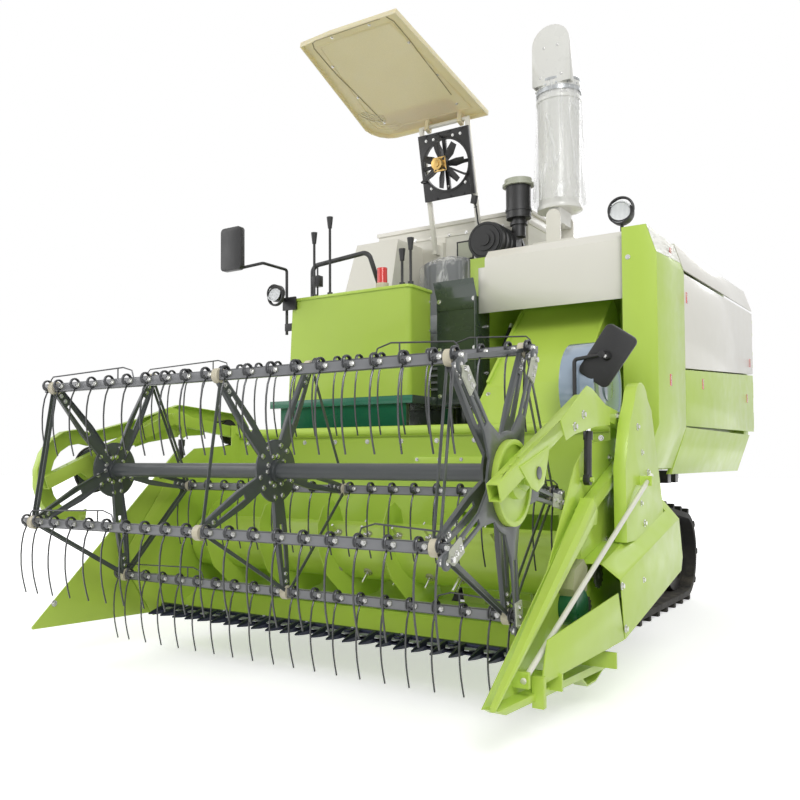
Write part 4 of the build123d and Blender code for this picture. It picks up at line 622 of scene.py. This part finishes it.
front, high, pitch, half = (knifeSet[key] for key in ("front", "high", "pitch", "half"))
shape = bmesh.new()
count = int(2 * half / pitch)
for i in range(count):
    x = -pitch * (count - 1) / 2 + pitch * i
    rings = []
    for share, wide, over, under in knifeSet["guard"]:
        y, z = front + 14 - knifeSet["long"] * share, high - knifeSet["droop"] * share
        rings.append([shape.verts.new(at(x + a, y, z + b)) for a, b in (
            (-wide, 0), (-wide * 0.5, over), (wide * 0.5, over),
            (wide, 0), (wide * 0.5, -under), (-wide * 0.5, -under))])
    joinRings(shape, rings)
    shape.faces.new(rings[0][::-1])
    shape.faces.new(rings[-1])
    middle = x + pitch / 2  # a knife section between two guards
    section = [at(middle + a, front + b, high + 4) for a, b in knifeSet["section"]]
    addPrism(shape, section, (0, 0, 0.003), index=1)
    if i % knifeSet["clipEvery"] == 1:
        addBox(shape, at(x + 24, front - 26, high + 8), at(x + 50, front + 34, high + 15), 0.002)
        addBolt(shape, at(x + 37, front + 18, high + 14), (0, 0, 1), 0.008, index=1)
    addBolt(shape, at(x, front + 26, high - 6), (0, -0.5, -1), 0.008, index=1)
addBox(shape, at(-half, front + 8, high - 16), at(half, front + 34, high + 18), 0.002)
recalcNormals(shape)
newPiece("knifeGuards", shape, "header", "guardBlueBlack galvanised", 30)

# (y, z) of bolts that go into the drive's shields, or into the divider beside them
shieldBolts = ((525, 428), (561, 274), (-242, 305), (-236, 265), (498, 781), (373, 797), (673, 651),
               (900, 1000), (980, 620), (1040, 820))
shape = bmesh.new()
for y, z in shieldBolts:
    spot, normal = touch("drive_shields", (1330, y, z), (-1, 0, 0))
    if spot is None:
        spot, normal = touch("dividers", (1330, y, z), (-1, 0, 0))
    if spot is not None:
        addBolt(shape, spot, normal if normal.x > 0 else -normal, 0.010)
newPiece("shieldBoltsOuter", shape, "header", "zincBolt")

shape = bmesh.new()  # a weld bead along the top of the back wall
spots = [touch("header_pan", place, (0, 1, 0))[0] for place in evenly((-975, 300, 985), (975, 300, 985), 60)]
addTube(shape, [spot for spot in spots if spot is not None], 0.004)
newPiece("weldBeads", shape, "header", "weldLime")

# the retracting fingers come out of the auger through small guides
augerSet = {"axle": (705, 470), "guide": 0.1245, "finger": 0.062, "turns": (39, -41, 139, 219),
            "x": (-123, 30, 181, 332, 474)}

shape = bmesh.new()
for turn in augerSet["turns"]:
    a = radians(turn)
    out = Vector((0, -cos(a), sin(a)))
    for x in augerSet["x"]:
        spot = at(x, *augerSet["axle"]) + out * augerSet["guide"]
        addDisc(shape, spot, out, 0.021, 0.007, 20, 0.017)
        addDisc(shape, spot + out * 0.005, out, 0.010, 0.006, 12, index=1)
        for side in (-1, 1):
            addBolt(shape, spot + Vector((0.014 * side, 0, 0)) + out * 0.005, out, 0.0035, index=1)
        addTube(shape, [spot, spot + out * augerSet["finger"]], 0.0055, 8, index=1)
newPiece("augerCups", shape, "auger", "castTan zincBolt")

# a cover plate on the header's back wall
shape = bmesh.new()
y = drawn(touch("header_pan", (250, 300, 846), (0, 1, 0))[0]).y
addBox(shape, at(72, y - 5, 806), at(434, y + 1, 886), 0.0015)
for x in (86, 200, 310, 420):
    for z in (818, 874):
        addBolt(shape, at(x, y - 5, z), (0, -1, 0), 0.006, index=1)
newPiece("backPlate", shape, "header", "limePaint zincBolt")
print("guards and header trim")

# the plate of the header's left mirror, on the end of its rod
mirrorSet = {
    "tip": (964, 915, 1288), "back": (0.02, -0.99, -0.12), "roll": 36, "long": 236, "wide": 142,
    "corner": 26, "cornerSteps": 8,
    "rims": ((22, 5), (24, 1.5), (28, 0), (34, 0), (37, 2)),  # depth behind the tip, and how much smaller it is there
}

corner, steps = mirrorSet["corner"], mirrorSet["cornerSteps"]
tip = at(*mirrorSet["tip"])
back = Vector(mirrorSet["back"]).normalized()
up = (Vector((0, 0, 1)) - back * back.z).normalized()
right = up.cross(back)
roll = radians(mirrorSet["roll"])
tall = up * cos(roll) + right * sin(roll)
side = right * cos(roll) - up * sin(roll)
shape = bmesh.new()
rings = []
for deep, shrink in mirrorSet["rims"]:
    ring = []
    for cx, cy, start in ((1, 1, 0), (-1, 1, 90), (-1, -1, 180), (1, -1, 270)):
        for k in range(steps + 1):
            a = radians(start + 90 * k / steps)
            across = cx * (mirrorSet["wide"] / 2 - corner) + (corner - shrink) * cos(a)
            along = cy * (mirrorSet["long"] / 2 - corner) + (corner - shrink) * sin(a)
            ring.append(shape.verts.new(tip + (side * across + tall * along - back * deep) / 1000))
    rings.append(ring)
joinRings(shape, rings)
shape.faces.new(rings[0][::-1])
shape.faces.new(rings[-1]).material_index = 1
addDisc(shape, tip - back * 0.023, back, 0.021, 0.022, 20, 0.012)
addBolt(shape, tip - back * 0.003, back, 0.0075, index=2)
recalcNormals(shape)
newPiece("mirrorLeftPlate", shape, "header", "blackPlastic mirrorGlass zincBolt")
print("left mirror")

# the seat: two padded cushions under a crumpled clear film
seatSet = {
    "left": -606, "right": -234, "front": 1944, "rear": 2332, "bottom": 1604, "top": 2128,
    "cushionHigh": 112, "backThick": 98, "lean": 0.16, "channel": 80, "backChannel": 86,
    "channelWide": 9, "channelDeep": 0.005, "voxel": 0.008, "pressure": 4, "cap": 0.012, "frames": 20,
}
seatFilmSet = {"seed": 77, "flat": (0.95, 0.32), "drop": 300, "rows": 22, "turns": 96, "jitter": 1.5}


def bakeModifiers(piece):
    depsgraph = bpy.context.evaluated_depsgraph_get()
    mesh = bpy.data.meshes.new_from_object(piece.evaluated_get(depsgraph))
    piece.modifiers.clear()
    piece.data = mesh


def swell(piece):  # blown up by cloth pressure, no further than the cap
    before = [v.co.copy() for v in piece.data.vertices]
    cloth = piece.modifiers.new("swell", "CLOTH")
    cloth.settings.use_pressure = True
    cloth.settings.uniform_pressure_force = seatSet["pressure"]
    cloth.settings.effector_weights.gravity = 0
    for frameNumber in range(1, seatSet["frames"] + 1):
        scene.frame_set(frameNumber)
    bakeModifiers(piece)
    for v, old in zip(piece.data.vertices, before):
        moved = v.co - old
        if moved.length > seatSet["cap"]:
            v.co = old + moved.normalized() * seatSet["cap"]
    scene.frame_set(1)


def padFrom(name, shape, channels):  # channels are the places along x of sewn lines
    for _ in range(3):
        bmesh.ops.subdivide_edges(shape, edges=shape.edges[:], cuts=1, use_grid_fill=True)
    piece = newPiece(name, shape, "machine", "seatGrey", angle=60)
    remesh = piece.modifiers.new("even", "REMESH")
    remesh.mode = "VOXEL"
    remesh.voxel_size = seatSet["voxel"]
    bakeModifiers(piece)
    swell(piece)
    for v in piece.data.vertices:
        for place in channels:
            gap = abs(drawn(v.co).x - place)
            if gap < seatSet["channelWide"]:
                v.co -= v.normal * seatSet["channelDeep"] * (1 - gap / seatSet["channelWide"])
    soften = piece.modifiers.new("soften", "SUBSURF")
    soften.levels = soften.render_levels = 1
    bakeModifiers(piece)
    piece.data.shade_smooth()
    return piece


def filmPiece(name, rings, body):  # a thin film over closed rings of places
    shape = bmesh.new()
    joinRings(shape, [[shape.verts.new(p) for p in ring] for ring in rings])
    piece = newPiece(name, shape, body, "clearFilm", angle=180)
    print(name, "film area", round(sum(face.area for face in piece.data.polygons), 4))


def waves(a, share, phases, parts):  # parts are (strength, folds in a turn, twist along the film)
    return sum(strength * sin(count * a + phase + twist * share)
               for (strength, count, twist), phase in zip(parts, phases))


left, right, rear, bottom, top, thick = (
    seatSet[key] for key in ("left", "right", "rear", "bottom", "top", "backThick"))
middle = (left + right) / 2
shape = bmesh.new()
addBox(shape, at(left, seatSet["front"], bottom), at(right, rear - 60, bottom + seatSet["cushionHigh"]), 0.028)
cushion = padFrom("seatCushion", shape, (left + seatSet["channel"], right - seatSet["channel"]))
shape = bmesh.new()
addBox(shape, at(left + 10, rear - thick, bottom + 70), at(right - 10, rear, top), 0.034)
for v in shape.verts:  # the back leans in towards its rounded top
    high = (v.co.z - at(0, 0, bottom).z) / ((top - bottom) / 1000)
    v.co.x += (at(middle, 0, 0).x - v.co.x) * seatSet["lean"] * max(high - 0.5, 0)
back = padFrom("seatBack", shape, (left + seatSet["backChannel"], right - seatSet["backChannel"]))
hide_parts("seat")
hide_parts("seat")

# the film hangs over the back in long folds
chance = random.Random(seatFilmSet["seed"])
count, jitter = seatFilmSet["rows"], seatFilmSet["jitter"]
wide, deep = (right - left) / 2, thick / 2
phases = [chance.uniform(0, 2 * pi) for _ in range(6)]
rings = []
for i in range(count):
    share = i / (count - 1)
    z = top + 8 - seatFilmSet["drop"] * share
    grow = min(1, 0.10 + 1.05 * sqrt(min(share * 4.2, 1)))
    ring = []
    for a in turns(seatFilmSet["turns"]):
        fold = waves(a, share, phases, ((1, 11, 2.1), (0.7, 19, -3), (0.5, 31, 0))) * (1.5 + 5.5 * share)
        c, d = cos(a), sin(a)
        x = middle + (wide * 0.97 * grow) * copysign(abs(c) ** 0.55, c) + (fold + 5) * c
        y = rear - deep + ((deep + 5) * grow) * copysign(abs(d) ** 0.7, d) + (fold + 4) * d * 1.3
        ring.append(at(x, min(y, rear + 12), z + chance.uniform(-jitter, jitter)))
    rings.append(ring)
filmPiece("seatFilm", rings, "machine")
print("seat and its film")

# the unloading tube: film stretched round it, and a galvanised clamp under its hood
tubeSet = {
    "x": 290, "y": 2300, "low": 2350, "high": 3040, "radius": 121, "flare": 26,
    "turns": 96, "rows": 44, "fold": 2.6, "seed": 5, "flat": (0.85, 0.69),
    "clamp": ((2985, 3046, 124), (3040, 3052, 127), (2980, 2990, 127)), "clampTurns": 56, "clampBolts": 6,
}


def aroundTube(radius, a, z):
    return at(tubeSet["x"] + radius * cos(a), tubeSet["y"] + radius * sin(a), z)


low, high, rows = tubeSet["low"], tubeSet["high"], tubeSet["rows"]
chance = random.Random(tubeSet["seed"])
phases = [chance.uniform(0, 2 * pi) for _ in range(5)]
rings = []
for i in range(rows):
    share = i / (rows - 1)
    ring = []
    for a in turns(tubeSet["turns"]):
        fold = waves(a, share, phases, ((1, 7, 1.3), (0.6, 12, -2.2), (0.45, 21, 5))) * tubeSet["fold"]
        r = tubeSet["radius"] + tubeSet["flare"] * (1 - share) ** 1.4 + fold + 4
        ring.append(aroundTube(r, a, low + (high - low) * share))
    rings.append(ring)
filmPiece("tubeFilm", rings, "unload_tube")
print("film round the tube")

# small pieces on the console, the tank, the lamps, the doors and the canopy's post
leverFeet = ((-735, 1290), (-630, 1290), (-180, 1290), (-130, 1290))
filterSet = {"x": -60, "y": 2047, "z": 2140, "rings": (96, 72, 46, 22), "ribs": 12, "rib": (26, 60, 92)}
redPlates = (  # name, node, body, (y, z) of each plate
    ("columnPlates", "corner_column", "machine", ((1638, 1240), (1755, 1854))),
    ("upperDoorPlates", "door_upper", "door_upper", ((1972, 1672), (3700, 1500))),
    ("lowerDoorPlates", "door_lower", "door_lower", ((2304, 1267), (3568, 1262))),
)
wiring = {"top": (-222, 2160, 2560), "foot": (-214, 2320, 2230), "points": 9, "joint": 3, "clips": (1, 4, 7)}

shape = bmesh.new()  # bellows at the levers' feet
for x, y in leverFeet:
    for i in range(4):
        less = 0.0045 * i
        addDisc(shape, at(x, y, 1748 + 7 * i), (0, 0, 1), 0.030 - less, 0.0075, 20, 0.026 - less)
newPiece("leverBellows", shape, "machine", "blackPlastic")

shape = bmesh.new()  # blank framed plate on the tank's front
y = drawn(touch("grain_tank", (-365, 2200, 2195), (0, 1, 0))[0]).y
addBox(shape, at(-424, y - 3, 2135), at(-306, y + 1, 2258), 0.001)
addBox(shape, at(-414, y - 4, 2145), at(-316, y - 2, 2248), 0.0005, index=1)
newPiece("tankPlate", shape, "machine", "blackPlastic clipGrey")


def onFilter(r, a, lift=0):
    return at(filterSet["x"] + r * cos(a), filterSet["y"] + lift, filterSet["z"] + r * sin(a))


shape = bmesh.new()  # rings and ribs on the air filter's round end
for r in filterSet["rings"]:
    addTube(shape, [onFilter(r, a) for a in turns(48, True)], 0.0035)
for a in turns(filterSet["ribs"]):
    addTube(shape, [onFilter(r, a, 1) for r in filterSet["rib"]], 0.0022, 5)
newPiece("filterRings", shape, "machine", "blackPlastic")

shape = bmesh.new()  # rims round the lamps
for (place, way), r in zip(lampSpots, lampSet["rims"]):
    turnTo = facing(place - way * 0.004, way)
    for back, thick in ((0, 0.006), (0.012, 0.005)):
        addTube(shape, [turnTo @ Vector((r * cos(a), r * sin(a), -back)) for a in turns(40, True)], thick, 8)
newPiece("lampRims", shape, "machine", "blackPlastic")

for name, nodeName, body, places in redPlates:  # blank plates on the column and the doors
    shape = bmesh.new()
    for y, z in places:
        x = drawn(touch(nodeName, (1300, y, z), (-1, 0, 0))[0]).x
        addBox(shape, at(x - 0.5, y - 17, z - 27), at(x + 1, y + 17, z + 27), 0.0003)
        addBox(shape, at(x + 0.5, y - 8, z + 2), at(x + 1.6, y + 8, z + 20), 0.0003, index=1)
    newPiece(name, shape, body, "redPlastic nylonCream")

shape = bmesh.new()  # wiring clipped down the canopy's post, with its joint
run = [at(p.x + 20 + 6 * sin(i * 1.9), p.y - 26 + 4 * cos(i * 2.3), p.z)
       for i, p in enumerate(evenly(wiring["top"], wiring["foot"], wiring["points"]))]
addTube(shape, run, 0.0055, 8)
addDisc(shape, run[wiring["joint"]] - Vector((0, 0, 0.02)), (0.2, 0, 1), 0.020, 0.045, 16)
for i in wiring["clips"]:
    addTube(shape, [run[i] + Vector((0.008, -0.006, 0)), run[i] + Vector((-0.022, 0.02, 0.006))], 0.003)
newPiece("postWiring", shape, "machine", "blackPlastic")
print("small pieces")

# the cream of the roof runs on over the column's side, laid on it as thin sheet metal
cornerSet = {"front": 1424, "rear": 1922, "low": (1800, 1838), "top": 1998, "rows": 28, "columns": 40,
             "lift": 0.0012, "thick": 0.001}

front, rear, top, (lowFront, lowRear) = (cornerSet[key] for key in ("front", "rear", "top", "low"))
rows, columns = cornerSet["rows"], cornerSet["columns"]
shape = bmesh.new()
grid = []
for i in range(columns + 1):
    y = front + (rear - front) * i / columns
    foot = lowFront + (lowRear - lowFront) * i / columns
    line = []
    for j in range(rows + 1):
        spot, normal = touch("corner_column", (1400, y, foot + (top - foot) * j / rows), (-1, 0, 0))
        onSide = spot is not None and normal.x > 0.15
        line.append(shape.verts.new(spot + normal * cornerSet["lift"]) if onSide else None)
    grid.append(line)
for a, b in zip(grid, grid[1:]):
    for j in range(rows):
        corners = (a[j], b[j], b[j + 1], a[j + 1])
        if all(corners):
            shape.faces.new(corners)
for v in [v for v in shape.verts if not v.link_faces]:
    shape.verts.remove(v)
bmesh.ops.solidify(shape, geom=shape.faces[:], thickness=-cornerSet["thick"])
newPiece("creamCorner", shape, "machine", "creamPaint")

count = tubeSet["clampTurns"]
shape = bmesh.new()
for low, high, r in tubeSet["clamp"]:
    joinRings(shape, [[shape.verts.new(aroundTube(r, a, z)) for a in turns(count)] for z in (low, high)])
for k in range(tubeSet["clampBolts"]):
    a = -pi / 2 + (k - 2.5) * 0.5
    addBolt(shape, aroundTube(124, a, 3016), (cos(a), sin(a), 0), 0.006)
newPiece("tubeClamp", shape, "unload_tube", "galvanised")

# under the canopy: a moulded bead, as (x, y) from the canopy's middle line, and curved ridges
canopySet = {
    "middle": -500, "steps": 8,
    "bead": ((-250, 2060), (-270, 1500), (-262, 1330), (-235, 1268), (-170, 1236), (170, 1236), (225, 1262),
             (255, 1330), (262, 1500), (258, 2060)),
    "ridges": 4, "ridgeAt": (-205, 1916), "ridgeRadius": 96, "ridgeStep": 19,
}


def underCanopy(x, y):
    return touch("canopy", (canopySet["middle"] + x, y, 2600), (0, 0, 1))[0]


steps, (ridgeX, ridgeY) = canopySet["steps"], canopySet["ridgeAt"]
shape = bmesh.new()
points = []
for a, b in zip(canopySet["bead"], canopySet["bead"][1:]):
    for i in range(steps):
        spot = underCanopy(a[0] + (b[0] - a[0]) * i / steps, a[1] + (b[1] - a[1]) * i / steps)
        if spot is not None:
            points.append(spot + Vector((0, 0, -0.0005)))
addTube(shape, points, 0.0032)
for ridge in range(canopySet["ridges"]):
    run = []
    for i in range(13):
        a = pi + 0.15 + (pi / 2 - 0.3) * i / 12
        r = canopySet["ridgeRadius"] + canopySet["ridgeStep"] * ridge
        run.append(underCanopy(ridgeX + r * cos(a), ridgeY - r * sin(a)))
    run = [spot for spot in run if spot is not None]
    if len(run) > 4:
        addTube(shape, run, 0.0045, index=1)
newPiece("canopyBead", shape, "canopy", "beadBrown canopyBeige")

# hoses at the reel's left arm, along the header's end and by the engine: name, body, radius, places
hoses = (
    ("armHose", "reel_arms", 7,
     ((1030, 905, 1000), (1020, 860, 1046), (1006, 780, 1062), (990, 700, 1056), (984, 640, 1030))),
    ("endHose", "header", 9,
     ((1000, 1010, 900), (1000, 1004, 800), (985, 1000, 640), (985, 1006, 500), (985, 1010, 380))),
    ("engineHose", "machine", 14,
     ((20, 1700, 1150), (40, 1690, 1300), (90, 1700, 1450), (60, 1760, 1600), (30, 1900, 1700))),
    ("engineHoseLow", "machine", 11, ((60, 1620, 1000), (80, 1640, 1150), (30, 1690, 1260), (70, 1750, 1400))),
    ("feederHose", "machine", 9, ((250, 1660, 1150), (230, 1620, 1300), (220, 1640, 1450), (240, 1700, 1580))),
)
hoseSteps, hoseEnd = 6, 0.024


def smoothRun(places):  # a curve through the places
    places = [Vector(p) for p in places]
    fine = []
    for p0, p1, p2, p3 in zip([places[0]] + places, places, places[1:], places[2:] + [places[-1]]):
        for k in range(hoseSteps):
            t = k / hoseSteps
            fine.append(at(*(0.5 * ((2 * p1) + (p2 - p0) * t + (2 * p0 - 5 * p1 + 4 * p2 - p3) * t * t
                                    + (3 * p1 - p0 - 3 * p2 + p3) * t * t * t))))
    return fine + [at(*places[-1])]


for name, body, radius, places in hoses:
    shape = bmesh.new()
    run = smoothRun(places)
    addTube(shape, run, radius / 1000, 10)
    for end, inner in ((0, 1), (-1, -2)):
        addDisc(shape, run[end], run[inner] - run[end], radius * 1.35 / 1000, hoseEnd, 12, index=1)
    newPiece(name, shape, body, "hoseBlack zincBolt")
print("clamp, bead and hoses")

# camera, lights and floor
view = {
    "place": (2.0292, -4.2970, 0.8702), "turn": 36.27, "rise": 2.11, "roll": -0.07,
    "lens": 39.57, "shiftX": 0.1238, "shiftY": 0.035,
}
lights = (  # name, place, aim, size, power
    ("keyLight", (4.5, -6.5, 6), (0, -0.5, 1), 4, 290),
    ("fillLight", (-6, -4, 4), (0, 0, 1), 5, 120),
    ("backLight", (1, 6.5, 5.5), (0, 0.5, 1.5), 4, 120),
)
studio = {"worldLight": 0.50, "floorHalf": 40, "floorDrop": 0.001, "glowNear": 2, "glowFar": 7, "glow": 0.50}


def addCamera():
    data = bpy.data.cameras.new("camera")
    data.lens = view["lens"]
    data.sensor_width = 36
    data.shift_x, data.shift_y = view["shiftX"], view["shiftY"]
    data.clip_end = 100
    camera = bpy.data.objects.new("camera", data)
    turn, rise, roll = (radians(view[key]) for key in ("turn", "rise", "roll"))
    ahead = Vector((-sin(turn) * cos(rise), cos(turn) * cos(rise), sin(rise)))
    aim = ahead.to_track_quat("-Z", "Y").to_matrix().to_4x4()
    camera.matrix_world = Matrix.Translation(view["place"]) @ aim @ Matrix.Rotation(roll, 4, "Z")
    scene.collection.objects.link(camera)
    scene.camera = camera


def addLight(name, place, aimAt, size, power):
    data = bpy.data.lights.new(name, "AREA")
    data.shape = "DISK"
    data.size = size
    data.energy = power
    light = bpy.data.objects.new(name, data)
    light.location = place
    light.rotation_euler = (Vector(aimAt) - Vector(place)).to_track_quat("-Z", "Y").to_euler()
    scene.collection.objects.link(light)


def showsBackdrop(tree):  # 1 for rays from the camera, off gloss and through glass
    path = addNode(tree, "LightPath").outputs
    total = mathOf(tree, "ADD", path["Is Camera Ray"], path["Is Glossy Ray"])
    return mathOf(tree, "ADD", total, path["Is Transmission Ray"], clamp=True)


def addWorld():
    world = bpy.data.worlds.new("studio")
    scene.world = world
    world.use_nodes = True
    tree = world.node_tree
    backdrop = tree.nodes["Background"].inputs
    backdrop["Color"].default_value = (1, 1, 1, 1)
    feed(tree, backdrop, Strength=rangeOf(tree, showsBackdrop(tree), 0, 1, studio["worldLight"], 1))


def addFloor():
    half = studio["floorHalf"]
    mesh = bpy.data.meshes.new("floor")
    mesh.from_pydata([(-half, -half, 0), (half, -half, 0), (half, half, 0), (-half, half, 0)], [], [(0, 1, 2, 3)])
    floor = bpy.data.objects.new("floor", mesh)
    floor.location.z = -studio["floorDrop"]
    scene.collection.objects.link(floor)
    tree, shader = newMaterial("paleFloor", Roughness=0.9, Emission_Color=(1, 1, 1, 1))
    # for the camera the floor glows a little, and more far away, so that it runs into the white
    away = addNode(tree, "VectorMath", {0: objectSpace(tree)}, operation="LENGTH").outputs["Value"]
    glow = rangeOf(tree, away, studio["glowNear"], studio["glowFar"], studio["glow"], 1)
    seen = mathOf(tree, "MULTIPLY", glow, showsBackdrop(tree))
    feed(tree, shader, Emission_Strength=seen,
         Base_Color=mixOf(tree, noiseOf(tree, 3, 4), (0.86, 0.86, 0.86, 1), (0.89, 0.89, 0.89, 1)))
    mesh.materials.append(materials["paleFloor"])


addCamera()
addWorld()
for row in lights:
    addLight(*row)
addFloor()
scene.view_settings.view_transform = "Standard"
print("camera and lights")
